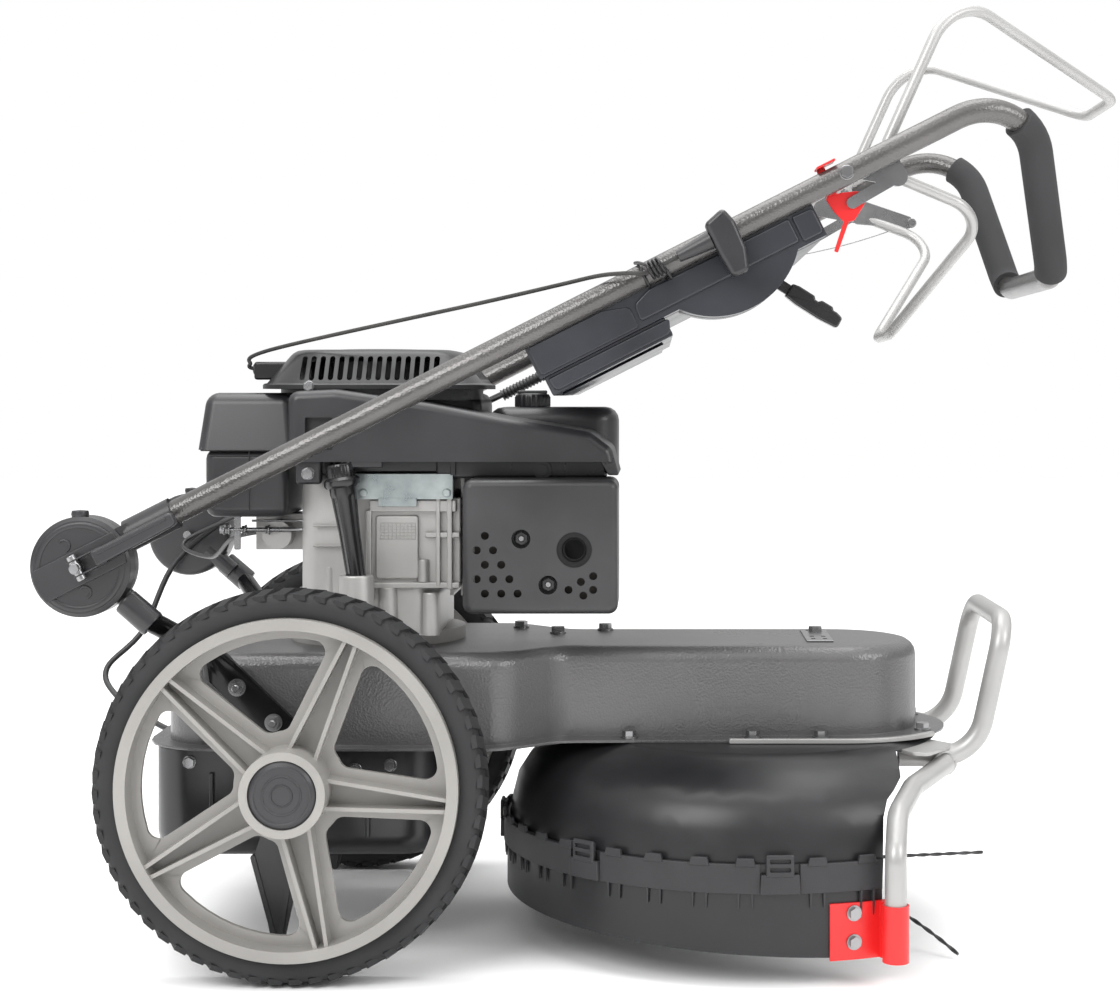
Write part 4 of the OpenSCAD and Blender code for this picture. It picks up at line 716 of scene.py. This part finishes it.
# Cutting head: a black moulded line carrier over a smooth skid dish that glides on the ground.
# The head turns on the spindle's lower end and the dish is screwed under it.
dish_plastic = finish("dish_plastic", (0.02, 0.02, 0.021), (0.035, 0.035, 0.036), 0.4, grain=600, bump=0.1)
dress(moulded, 0.001, "trimmer_head")
dress(dish_plastic, 0.001, "skid_dish")

# Crankcase: bare cast aluminium with ribs, bosses and a bolted seam, and a finned cylinder in front.
# A galvanised sheet steers the cooling air over the fins, and the carburettor hangs on the rear face.
galvanised = finish(
    "galvanised_sheet", (0.29, 0.325, 0.328), (0.45, 0.487, 0.487), 0.33, metallic=0.8, patch=40, grain=300,
    bump=0.05)
dress(cast, 0.0012, "engine_block", "cylinder_head", "carburettor", "flywheel")
dress(galvanised, 0.0004, "air_baffle")
case_side = -0.1
castings = [plate(square(-0.418, 0.395, -0.371, 0.464, 0.004), case_side + 0.002, case_side - 0.005, 0.002)]
grid_x, grid_z, bar_w, bar_front, bar_back = -0.4125, 0.438, 0.0007, -0.1056, -0.104
bars = [(x, grid_z, x + bar_w, 0.4562) for x in (grid_x + 0.0042 * k for k in range(10))]
bars += [(grid_x, z, -0.374, z + bar_w) for z in (grid_z + 0.0035 * k for k in range(6))]
for x, z, end_x, end_z in bars:
    castings.append(block((x, bar_front, z), (end_x, bar_back, end_z), 0.0002, segments=1))
for x, z, end_x, end_z in (
    (-0.352, 0.388, -0.347, 0.484), (-0.34, 0.384, -0.334, 0.484), (-0.364, 0.44, -0.326, 0.446),
    (-0.426, 0.385, -0.326, 0.3915), (-0.424, 0.468, -0.33, 0.481), (-0.486, 0.452, -0.45, 0.454),
    (-0.486, 0.43, -0.45, 0.432), (-0.428, 0.392, -0.422, 0.47),
):
    rib_front = -0.1067 if end_x - x > end_z - z else -0.1075
    castings.append(block((x, rib_front, z), (end_x, -0.096, end_z), 0.0012))
castings.append(block((-0.374, -0.0985, 0.386), (-0.3255, -0.08, 0.483), 0.002))
for x, y, low, high, r in (
    (-0.469, -0.093, 0.352, 0.408, 0.0085), (-0.366, -0.101, 0.392, 0.416, 0.0065),
    (-0.405, -0.1, 0.334, 0.386, 0.011), (-0.358, -0.1, 0.334, 0.38, 0.0095),
):
    castings.append(
        turned([(0, low), (r, low), (r * 0.92, high - 0.0015), (r * 0.8, high), (0, high)], at(x, y), 24))
build("crankcase_ribs", castings, cast, "chassis", "cast_aluminium")
sheet_tab = [block((-0.414, -0.1125, 0.474), (-0.372, -0.1105, 0.4835), 0.0006)]
sheet_tab += [m for x in (-0.43, -0.3395) for m in hex_bolt(facing_right(x, -0.1115, 0.489), 0.007, 0.003)]
build("baffle_tab", sheet_tab, galvanised, "chassis", "steel")
rod_y, rod_z = -0.065, 0.446
linkage = [
    swept("rod", [Vector((x, rod_y, rod_z)) for x in (-0.592, -0.55, -0.504)], 0.0025),
    swept("rod", [Vector((x, -0.0655, 0.456)) for x in (-0.56, -0.53, -0.5)], 0.0013),
    plate(square(-0.5795, 0.424, -0.5725, 0.462, 0.002), -0.063, -0.067, 0.0006)]
for x in (-0.59, -0.584, -0.566, -0.54):
    linkage += hex_bolt(at(x, rod_y, rod_z) @ spin(-pi / 2, "Y"), 0.0085, 0.004)
build("throttle_linkage", linkage, zinc, "chassis", "steel")

# Oil filler: a glossy black moulded tube with shallow flutes, pushed into a cast boss on the crankcase,
# with a wide collar and a flat cap at its top.
glossy = finish("glossy_black", (0.008, 0.008, 0.009), (0.014, 0.014, 0.015), 0.22, grain=900, bump=0.04)
oil_y = -0.135
foot, mouth = Vector((-0.434, oil_y, 0.398)), Vector((-0.4495, oil_y, 0.501))
lean = at(*foot) @ (mouth - foot).to_track_quat("Z", "Y").to_matrix().to_4x4()
tall = (mouth - foot).length


def fluted(mesh, flutes, inner, deep, low, high):
    """Presses shallow flutes into a turned mesh, outside the inner radius and between two heights."""
    for v in mesh.vertices:
        if v.co.xy.length > inner and low < v.co.z < high:
            pressed = 1 - deep * (0.5 + 0.5 * cos(flutes * atan2(v.co.y, v.co.x)))
            v.co.x *= pressed
            v.co.y *= pressed
    return mesh


shank = fluted(
    turned([(0, 0), (0.0105, 0), (0.0108, 0.006), (0.0118, tall * 0.5), (0.014, tall - 0.016),
            (0.0145, tall - 0.012), (0.0145, tall), (0, tall)], steps=64), 8, 0.006, 0.14, 0.004,
    tall - 0.013)
collar = turned([
    (0, 0), (0.0175, 0), (0.0195, 0.003), (0.0195, 0.008), (0.0165, 0.011), (0, 0.011)],
    at(0, 0, tall - 0.005))
cap = fluted(
    turned([(0, 0), (0.015, 0), (0.0152, 0.002), (0.0152, 0.011), (0.0135, 0.014), (0, 0.015)],
           at(0, 0, tall + 0.006), 72), 18, 0.014, 0.05, tall, tall + 0.018)
for mesh in (shank, collar, cap):
    mesh.transform(lean)
build("oil_filler_tube", [shank, collar, cap], glossy, "chassis", "black_plastic", "oil_filler")
boss = [
    turned([(0, -0.03), (0.0185, -0.03), (0.0185, 0.002), (0.017, 0.004), (0.0118, 0.004), (0.0118, -0.004),
            (0, -0.004)], at(*foot)), block((-0.449, oil_y, 0.37), (-0.419, -0.097, 0.396), 0.003)]
build("oil_filler_boss", boss, cast, "chassis", "cast_aluminium")

# Cowl: one black moulded hood over the engine that slopes down to a rounded nose above the muffler.
# It stands on posts on the crankcase and is open underneath.
def opened(mesh, below, wall):
    """Shell with an even wall of what is left of a mesh above a height."""
    bm = bmesh.new()
    bm.from_mesh(mesh)
    bpy.data.meshes.remove(mesh)
    bmesh.ops.bisect_plane(
        bm, geom=bm.verts[:] + bm.edges[:] + bm.faces[:], plane_co=(0, 0, below), plane_no=(0, 0, 1),
        clear_inner=True)
    bmesh.ops.solidify(bm, geom=bm.faces[:], thickness=wall)
    return to_mesh(bm)


cowl_side, cowl_low = -0.14, 0.5235
rear_corners = [(-0.508, 0.48, 0.012), (-0.508, 0.599, 0.014), (-0.456, 0.6015, 0.04)]
nose_corners = [
    (-0.356, 0.587, 0.1), (-0.277, 0.571, 0.1), (-0.184, 0.556, 0.018), (-0.16, 0.538, 0.014),
    (-0.152, 0.505, 0.012), (-0.152, 0.48, 0.012)]
near_outline = soft_outline(rear_corners + nose_corners, 5)
far_outline = soft_outline(rear_corners + [(-0.31, 0.597, 0.016), (-0.31, 0.48, 0.012)], 5)
near_shell = opened(slab(near_outline, cowl_side, 0.01, 0.01, segments=4), cowl_low, 0.003)
pocket = block((-0.4885, cowl_side - 0.01, 0.536), (-0.459, cowl_side + 0.012, 0.571), 0.002)
far_shell = opened(slab(far_outline, -0.02, 0.14, 0.01, segments=4), cowl_low, 0.003)
cowl = [pierced(near_shell, [pocket]), far_shell]
cowl += [
    block((-0.491, cowl_side + 0.011, 0.533), (-0.456, cowl_side + 0.014, 0.574), 0.0008),
    block((-0.44, cowl_side + 0.0005, 0.517), (-0.406, cowl_side + 0.008, 0.527), 0.002),
    plate([(-0.174, 0.526, 0.002), (-0.1575, 0.5275, 0.002), (-0.1525, 0.509, 0.002), (-0.164, 0.509, 0.003)],
          cowl_side + 0.004, 0.004, 0.0015), block((-0.5, -0.134, 0.499), (-0.472, -0.122, 0.527), 0.004)]
cowl += [turned([(0, 0.5), (0.007, 0.5), (0.007, 0.598), (0, 0.598)], at(x, y), 20) for x in (-0.475, -0.378)
         for y in (-0.078, 0.078)]
build("sloping_cowl", cowl, moulded, "chassis", "black_plastic", "engine_cowl", crisp=32)
duct = [
    block((-0.352, -0.108, 0.5045), (-0.166, 0.012, 0.53), 0.004),
    block((-0.447, -0.103, 0.51), (-0.345, 0.012, 0.529), 0.003),
    block((-0.336, -0.112, 0.508), (-0.33, -0.104, 0.527), 0.001),
    turned([(0, 0), (0.01, 0), (0.01, 0.004), (0.006, 0.004), (0.006, 0.008), (0, 0.008)],
           facing_right(-0.236, -0.108, 0.514), 24)]
build("cooling_duct", duct, black_paint, "chassis", "black_plastic")
build("cowl_bolt", hex_bolt(facing_right(-0.486, -0.134, 0.511), 0.011), zinc, "chassis", "steel")

# Air filter: a black moulded box that flares to a lip, clipped on a base with rounded lower corners.
# The base is screwed to the carburettor's intake.
lid_block = block((-0.6145, -0.1155, 0.51), (-0.498, 0.0555, 0.5975), 0.013, taper=0.82, segments=5)
air_box = [opened(lid_block, 0.5355, 0.003), block((-0.6075, -0.1085, 0.534), (-0.507, 0.0485, 0.538), 0.001)]
build("filter_lid", air_box, moulded, "chassis", "black_plastic", "filter_cover", crisp=32)
base = [
    block((-0.604, -0.105, 0.462), (-0.513, 0.045, 0.5365), 0.011, segments=4),
    block((-0.5557, -0.1062, 0.47), (-0.5543, -0.104, 0.534), 0.0004, segments=1),
    block((-0.5985, -0.1062, 0.5285), (-0.519, -0.104, 0.53), 0.0004, segments=1)]
build("filter_tray", base, moulded, "chassis", "black_plastic", "filter_base", crisp=32)

# Recoil starter: a black moulded hood with sloping, slotted sides, screwed on the cowl's top.
# Its eyelet lets the rope out at the rear.
hood_x = -0.424


def lofted(levels, wall):
    """Shell through rounded squares (half width, corner, height), closed at its top."""
    bm = bmesh.new()
    loops = []
    for half, corner, z in levels:
        outline = soft_outline(square(hood_x - half, -half, hood_x + half, half, corner), 8)
        ring = [bm.verts.new((x, y, z)) for x, y in outline]
        loops.append([bm.edges.new(pair) for pair in zip(ring, ring[1:] + ring[:1])])
    for a, b in zip(loops, loops[1:]):
        bmesh.ops.bridge_loops(bm, edges=a + b)
    bm.faces.new(ring)
    bmesh.ops.recalc_face_normals(bm, faces=bm.faces)
    bmesh.ops.solidify(bm, geom=bm.faces[:], thickness=wall)
    return to_mesh(bm)


hood = lofted([
    (0.124, 0.07, 0.6018), (0.124, 0.07, 0.606), (0.1225, 0.069, 0.6075), (0.1195, 0.067, 0.6082),
    (0.0955, 0.052, 0.6385), (0.0925, 0.05, 0.6415), (0.088, 0.046, 0.644), (0.082, 0.042, 0.645)], 0.003)
slot_low, slot_high, slot_half, slot_in, slot_out = 0.611, 0.6375, 0.0029, 0.08, 0.14
slots = []
for k in range(15):
    x, y = [first + 0.0103 * k for first in (hood_x - 0.0721, -0.0721)]
    spans = [((x - slot_half, -slot_out), (x + slot_half, -slot_in)),
             ((x - slot_half, slot_in), (x + slot_half, slot_out))]
    if 1 < k < 13:
        spans.append(((hood_x + slot_in, y - slot_half), (hood_x + slot_out, y + slot_half)))
    slots += [block((*low, slot_low), (*high, slot_high), 0.0027) for low, high in spans]
hood_pieces = [pierced(hood, slots), block((-0.559, -0.06, 0.612), (-0.52, -0.038, 0.632), 0.003)]
hood_pieces.append(
    turned([(0, 0), (0.006, 0), (0.006, 0.002), (0.0042, 0.003), (0, 0.003)],
           at(-0.5585, -0.049, 0.624) @ spin(-pi / 2, "Y"), 24))
hood_pieces.append(
    turned([(0, 0.644), (0.055, 0.644), (0.055, 0.6455), (0.052, 0.6462), (0.04, 0.6462), (0.038, 0.6455),
            (0, 0.6455)], at(hood_x, 0), 48))
drum = turned([
    (0, 0.604), (0.084, 0.604), (0.084, 0.612), (0.078, 0.614), (0.078, 0.632), (0.074, 0.636), (0, 0.636)],
    at(-0.428, 0), 64)
seat = turned([
    (0.101, 0.59), (0.114, 0.59), (0.114, 0.6024), (0.101, 0.6024), (0.101, 0.59)], at(hood_x, 0), 64)
build("recoil_drum", [drum, seat], black_paint, "chassis", "black_paint")
build("slotted_hood", hood_pieces, flexible, "chassis", "black_plastic", "starter_cover", crisp=32)
build("hood_bolts", both_sides(hex_bolt(facing_right(-0.487, -0.1235, 0.6045), 0.009, 0.005)), zinc,
      "chassis", "steel")

# Fuel tank: black moulded, behind the nose on the left, with a ribbed cap.
# The cap is moulded round a finger bar and twists off by a quarter turn.
dress(moulded, 0.0015, "fuel_tank")
lid = fluted(
    turned([(0, 0.009), (0.0153, 0.009), (0.0153, 0), (0.0205, 0), (0.021, 0.001), (0.021, 0.011),
            (0.019, 0.0145), (0.012, 0.016), (0, 0.016)], steps=108), 18, 0.0195, 0.06, -0.001, 0.0125)
lid.transform(at(-0.257, 0.062, 0.5813))
grip_bar = block((-0.274, 0.059, 0.596), (-0.24, 0.065, 0.6005), 0.0015)
build("ribbed_fuel_cap", [lid, grip_bar], moulded, "filler_cap", "black_plastic", "fuel_cap")

# Muffler: a pressed steel box, browned by heat, in a black painted guard that is punched with rows of holes.
# The exhaust leaves through a rimmed hole in the guard's face.
scorched = finish("muffler_steel", (0.045, 0.04, 0.035), (0.09, 0.08, 0.07), 0.55, metallic=0.6, patch=20)
guard_paint = finish(
    "muffler_guard_paint", (0.02, 0.02, 0.021), (0.034, 0.034, 0.036), 0.4, grain=900, bump=0.15)
dress(scorched, 0.001, "muffler")
dress(guard_paint, 0.0008, "muffler_guard")
guard_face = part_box("muffler_guard")[0][1]
exhaust_x, exhaust_z = -0.199, 0.432
rim = turned([
    (0.0128, -0.001), (0.0185, -0.001), (0.0185, 0.0008), (0.0168, 0.002), (0.014, 0.002), (0.0128, 0.0006),
    (0.0128, -0.001)], facing_right(exhaust_x, guard_face, exhaust_z))
soot = finish("soot", (0.003, 0.003, 0.003), (0.007, 0.007, 0.007), 0.9)
build("exhaust_rim", [rim], soot, "chassis", "black_paint")
pipe = turned([
    (0, 0), (0.012, 0), (0.012, 0.0145), (0.0108, 0.0145), (0.0108, 0.001), (0, 0.001)],
    facing_right(exhaust_x, guard_face + 0.0165, exhaust_z))
build("exhaust_pipe", [pipe], soot, "chassis", "steel")
cup_places = [facing_right(x, guard_face + 0.0134, z) for x, z in ((-0.255, 0.4435), (-0.2266, 0.395))]
cup_bolts = [m for place in cup_places for m in hex_bolt(place, 0.0125, 0.006)]
cup_studs = [peg(0.0034, 0.006, 0.0086, 0.0008, place, 20) for place in cup_places]
build("guard_bolts", cup_bolts, black_paint, "chassis", "black_paint")
build("guard_studs", cup_studs, zinc, "chassis", "steel")

# Fold knuckles: black moulded discs on a through bolt. The inner ones carry sleeves for the lower bars,
# the outer ones are capped by a raised band and hold the handle's tubes.
dress(moulded, 0.0015, "knuckle_caps")
tilted = at(*fold) @ spin(-rise, "Y")
tube_y, cap_face, band, band_r = 0.239, -0.2588, 0.0175, 0.0485
bar_fall = radians(41)
bar_way = Vector((cos(bar_fall), 0, -sin(bar_fall)))
sleeve_foot = fold + 0.05 * bar_way + Vector((0, -tube_y, 0))
inner_disc = turned([
    (0, 0), (0.051, 0), (0.051, 0.015), (0.049, 0.018), (0.044, 0.0196), (0, 0.0196)],
    at(fold.x, 0.0002 - tube_y, fold.z) @ spin(-pi / 2, "X"), 64)
bar_sleeve = turned([
    (0.0111, 0.004), (0.0128, 0.004), (0.0138, 0.006), (0.0142, 0.04), (0.0134, 0.042), (0.0111, 0.042),
    (0.0111, 0.004)], at(*sleeve_foot) @ bar_way.to_track_quat("Z", "Y").to_matrix().to_4x4())
neck = swept(
    "neck", [fold + u * bar_way + Vector((0, 0.012 - tube_y, 0)) for u in (0.03, 0.05, 0.07)], 0.0105, 6)
build("knuckle_sleeves", both_sides([inner_disc, bar_sleeve, neck]), moulded, "chassis", "black_plastic",
      "knuckle_bases")
half_arc = asin(band / band_r)
band_outline = [(band_r * cos(a), band_r * sin(a)) for a in (half_arc * (k / 4 - 1) for k in range(9))]
band_outline += [(-x, -z) for x, z in band_outline]
trim = [
    slab(band_outline, cap_face + 0.0005, -0.2622, 0.0012, tilted),
    turned([(0.0395, -0.001), (0.04, 0.0009), (0.0415, 0.0014), (0.044, 0.0014), (0.0455, 0.0006),
            (0.0462, -0.001)], facing_right(fold.x, cap_face, fold.z), 72),
    turned([(0, 0), (0.0085, 0), (0.0092, 0.003), (0.0085, 0.0065), (0, 0.0075)],
           at(fold.x - 0.0025, -0.2475, fold.z + 0.05), 12)]
bump_r = 0.006
for across, up in ((-0.0158, 0.0215), (0.0058, -0.0254)):
    bump = [Vector((fold.x + across + bump_r * cos(a), cap_face - 0.0004, fold.z + up + bump_r * sin(a)))
            for a in (0.25 * k - 1.2 for k in range(16))]
    trim.append(swept("bump", bump, 0.0012))
build("knuckle_bands", both_sides(trim), moulded, "handle", "black_plastic")

# Clamp levers: black channel arms with forked ends, which turn on a cross pin over the fold's bolt.
# Swinging one out frees its knuckle.
lever_place = at(fold.x, -0.27, fold.z) @ spin(-radians(27), "Y")
arm = plate([
    (0.02, -0.0085, 0.003), (0.02, 0.0085, 0.003), (0.11, 0.0078, 0.005), (0.112, -0.0068, 0.006)], -0.0068,
    0.0058, 0.0026, lever_place)
ridge = plate([
    (0.026, 0.002, 0.001), (0.026, 0.006, 0.001), (0.104, 0.0052, 0.002), (0.104, 0.0018, 0.001)], -0.0076,
    -0.006, 0.0007, lever_place)
prongs = [
    block((-0.0055, -0.0052, z), (0.032, 0.0052, z + 0.0016), 0.0006, lever_place) for z in (-0.0088, 0.0072)]
pin = [turned([(0, -0.0135), (0.0044, -0.0135), (0.005, -0.0125), (0.005, 0.0125), (0.0044, 0.0135),
               (0, 0.0135)], lever_place, 24)]
nut = hex_bolt(lever_place @ at(0, -0.0051) @ spin(pi / 2, "X"), 0.0092, 0.004)
build("fold_nuts", both_sides(nut), zinc, "handle", "steel")
for name, meshes, slot, paint, solids in (
    ("clamp_arm", [arm, ridge] + prongs, "black_paint", moulded, ["clamp_lever"]),
    ("clamp_pin", pin, "steel", zinc, []),
):
    for side, half in each_side(meshes):
        build(f"{name}_{side}", half, paint, f"clamp_{side}", slot, *[f"{solid}_{side}" for solid in solids])

# Handlebar: one bent 25 mm steel tube in hammered paint, with foam sleeves on its two grips
# and a zinc bolt on each side that holds the bail bracket.
tube_paint = finish(
    "tube_paint", (0.08, 0.077, 0.0755), (0.126, 0.1215, 0.1185), 0.25, metallic=0.55, patch=6, grain=420,
    bump=0.5, depth=0.0005, pebbled=True)
foam = finish(
    "grip_foam", (0.022, 0.022, 0.023), (0.036, 0.036, 0.038), 0.9, grain=1600, bump=0.5, depth=0.0004)
tube_v, tube_r, grip_r = 0.007, 0.0125, 0.0175
bar_corners = mirrored([
    on_handle(0.057, -tube_y, tube_v), on_handle(1.08, -tube_y, tube_v), (0.312, -0.135, 0.722)])
bar_path = rounded_path(bar_corners, [0.065, 0.04, 0.04, 0.065], 16)
handlebar = add_piece("handlebar_tube", swept("handlebar_tube", bar_path, tube_r, 10), tube_paint)
fit(handlebar, "handle", "hammered_paint", "handlebar")
grip_line = bar_path[11:27]
bm = bmesh.new()
bm.from_mesh(swept("sleeve", grip_line, grip_r, 10))
round_edges(bm, [e for e in bm.edges if e.calc_face_angle(0) > 1.0], 0.003, 3)
grips = build("foam_sleeves", both_sides([to_mesh(bm)]), foam, "handle", "foam", "foam_grips")
bolt_place = facing_right(*on_handle(0.873, -tube_y - tube_r + 0.0006, tube_v))
build("tube_bolts", both_sides(hex_bolt(bolt_place, 0.0115, 0.004)), zinc, "handle", "steel")

# Console: a blue-black moulded tray between the tubes, with raised side panels, a flat back, the drive
# selector's quadrant and a lower box where the cables enter.
console_plastic = finish(
    "console_plastic", (0.0115, 0.0128, 0.017), (0.0205, 0.0225, 0.029), 0.33, grain=1800, bump=0.35,
    depth=0.0004)
dress(console_plastic, 0.003, "console_housing", "console_box")
side_y = -0.24
panels = []
for corners, inset, out, edge in (
    ([(0.618, -0.0335, 0.004), (0.62, -0.015, 0.006), (0.64, -0.0075, 0.012), (0.8, -0.0075, 0.003),
      (0.8, -0.0335, 0.003)], 0.001, -0.0035, 0.0022),
    ([(0.803, -0.036, 0.003), (0.803, -0.0075, 0.003), (0.8265, -0.0085, 0.005), (0.8265, -0.036, 0.005)],
     0.001, -0.0035, 0.0022),
    ([(0.503, -0.0375, 0.004), (0.503, -0.006, 0.004), (0.588, -0.006, 0.01), (0.615, -0.015, 0.006),
      (0.614, -0.0375, 0.003)], 0.001, -0.002, 0.0014),
    ([(0.509, -0.058, 0.006), (0.507, -0.043, 0.003), (0.646, -0.043, 0.003), (0.64, -0.058, 0.008)],
     0.008, 0.0035, 0.0018),
):
    panels.append(plate(corners, side_y + inset, side_y + out, edge, tilted))
panels = both_sides(panels)
panels += [
    block((0.506, -0.18, -0.0045), (0.825, 0.222, -0.0015), 0.0012, tilted),
    block((0.512, -0.2, -0.064), (0.63, 0.2, -0.06), 0.0015, tilted, taper=0.97)]
build("console_panels", panels, console_plastic, "handle", "console_plastic")

# Shift lever: a black moulded arm with a notched finger grip, on an axis across the console.
# It swings through the quadrant's slot to pick a speed.
lever_lean = radians(59.3)
lever_frame = tilted @ at(0.727, -0.195, 0.002) @ spin(lever_lean, "Y")
grip = plate([
    (0.086, -0.0075, 0.002), (0.086, 0.0075, 0.002), (0.094, 0.0092, 0.002), (0.112, 0.0092, 0.002),
    (0.115, 0.0062, 0.001), (0.1185, 0.0062, 0.001), (0.1215, 0.0092, 0.002), (0.134, 0.0095, 0.002),
    (0.137, 0.0068, 0.001), (0.141, 0.007, 0.002), (0.149, 0.005, 0.004), (0.15, -0.007, 0.004),
    (0.128, -0.0092, 0.004), (0.1, -0.0092, 0.004)], -0.0085, 0.0085, 0.0022, lever_frame)
stem = plate([
    (0.0, -0.006, 0.001), (0.0, 0.006, 0.001), (0.092, 0.0055, 0.001), (0.092, -0.0055, 0.001)], -0.004,
    0.004, 0.001, lever_frame)
hub = bush(0.0051, 0.013, 0.006, 0.0005, lever_frame @ spin(pi / 2, "X"))
build("shift_grip", [grip, stem, hub], glossy, "shifter", "black_plastic", "shift_lever")

# Bails: two 12 mm rods in silver grey paint, hung on zinc bail brackets, each with an eye on its pin.
# An arm on the left joins the lower bail to the drive cable's wire.
bail_u, bail_y = 0.922, 0.215
upper = [on_handle(bail_u, -bail_y, 0.012), (0.196, -0.207, 1.012), (0.392, -0.07, 0.921)]
lower = [on_handle(bail_u, -bail_y, -0.019), (0.232, -0.2, 0.782), (0.146, -0.06, 0.662)]
for name, corners, bends, body in (
    ("upper_bail", upper, [0.055, 0.034], "engine_bail"),
    ("lower_bail", lower, [0.038, 0.034], "drive_bail"),
):
    bail_path = rounded_path(mirrored(corners), bends + bends[::-1], 14)
    eye = bush(0.0046, 0.0095, 0.004, 0.001, facing_right(*corners[0]), 32)
    rods = [swept(f"{name}_rod", bail_path, 0.006, 8)] + both_sides([eye])
    build(f"{name}_rod", rods, silver, body, "silver_paint", name)
wire_y, wire_r = 0.208, 0.0007
wire_pin = on_handle(0.978, wire_y, -0.06)
pull_arm = [
    plate([(0.914, -0.029, 0.005), (0.922, -0.009, 0.006), (0.938, -0.009, 0.008), (0.982, -0.054, 0.005),
           (0.975, -0.0665, 0.005)], 0.2065, 0.2095, 0.0008, tilted)]
pull_arm += hex_bolt(facing_right(*(wire_pin + Vector((0, -0.0014, 0)))), 0.009, 0.004)
build("bail_pull_arm", pull_arm, zinc, "drive_bail", "steel")
wire_start = on_handle(0.826, wire_y, -0.03)
wire_path = [wire_start.lerp(wire_pin, k / 24) - Vector((0, 0, 0.004 * sin(pi * k / 24))) for k in range(25)]
wire = add_piece("bail_wire", swept("wire", wire_path, wire_r), zinc)
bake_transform(wire)
dress(zinc, 0.0006, "bail_brackets")

# Safety latch: a plate and a bent tab of pressed steel, painted red.
# It turns on its own stud and blocks the bails until its tab is pressed.
plate_out, plate_in = -0.2204, -0.2178
latch = []
for corners, inset in (
    ([(0.845, -0.005, 0.003), (0.862, -0.007, 0.004), (0.88, -0.014, 0.004), (0.88, -0.028, 0.004),
      (0.862, -0.039, 0.005), (0.852, -0.037, 0.003), (0.847, -0.022, 0.006)], 0),
    ([(0.853, -0.0335, 0.001), (0.859, -0.035, 0.001), (0.8318, -0.061, 0.0015), (0.8288, -0.058, 0.0015)],
     0.0003),
    ([(0.8465, -0.01, 0.001), (0.858, -0.01, 0.001), (0.859, 0.0252, 0.001), (0.85, 0.0252, 0.001)], 0.0003),
):
    latch.append(plate(corners, plate_in - inset, plate_out + inset, 0.0005, tilted))
latch.append(block((0.848, -0.249, 0.0234), (0.869, plate_in - 0.0001, 0.0258), 0.0009, tilted))
build("latch_plate", latch, red, "latch", "red_paint", "safety_latch")

# Rope guide: a coil of black spring wire that the rope runs through.
# It's clipped round the right tube by its own bent end.
wire_black = finish(
    "guide_wire", (0.01, 0.01, 0.01), (0.02, 0.02, 0.021), 0.25, metallic=0.3, grain=1500, bump=0.05)
coil_r, clip_r = 0.0085, 0.0143
coil = [on_handle(0.64, -tube_y, 0.0225), on_handle(0.6425, -0.248, 0.021), on_handle(0.6455, -0.26, 0.0175)]
coil += [on_handle(0.648 + 0.0042 * a / tau, rope_y - coil_r * sin(a), rope_v + coil_r * cos(a))
         for a in (tau * k / 20 for k in range(2, 75))]
coil += [
    on_handle(0.666, -0.256, -0.008), on_handle(0.664, -0.2475, -0.0072), on_handle(0.662, -0.242, -0.0064)]
clip = [swept("guide", smooth_run(coil, 3), 0.0018, 5)]
clip += [swept("clip", [on_handle(0.642, -tube_y - clip_r * sin(a), tube_v + clip_r * cos(a))
                        for a in (0.2 * k for k in range(18))], 0.0016, 5)]
build("wire_guide", clip, wire_black, "handle", "black_paint", "rope_guide")

# Pull handle: a black moulded T grip with a curved back and finger hollows, on a tapered neck.
# The rope is knotted inside it.
grip_shape = soft_outline([
    (0.7188, 0.024, 0.006), (0.7428, 0.0305, 0.006), (0.7475, 0.014, 0.014), (0.7458, -0.016, 0.02),
    (0.738, -0.0388, 0.007), (0.7204, -0.037, 0.006), (0.7186, -0.01, 0.02)], 5)
pull = [
    slab(grip_shape, rope_y - 0.0125, rope_y + 0.0125, 0.005, tilted, 4),
    turned([(0, 0.681), (0.0056, 0.681), (0.0062, 0.682), (0.0095, 0.718), (0, 0.72)],
           tilted @ at(0, rope_y, rope_v) @ spin(pi / 2, "Y"))]
build("pull_grip", pull, moulded, "recoil_grip", "black_plastic", "starter_handle", crisp=32)
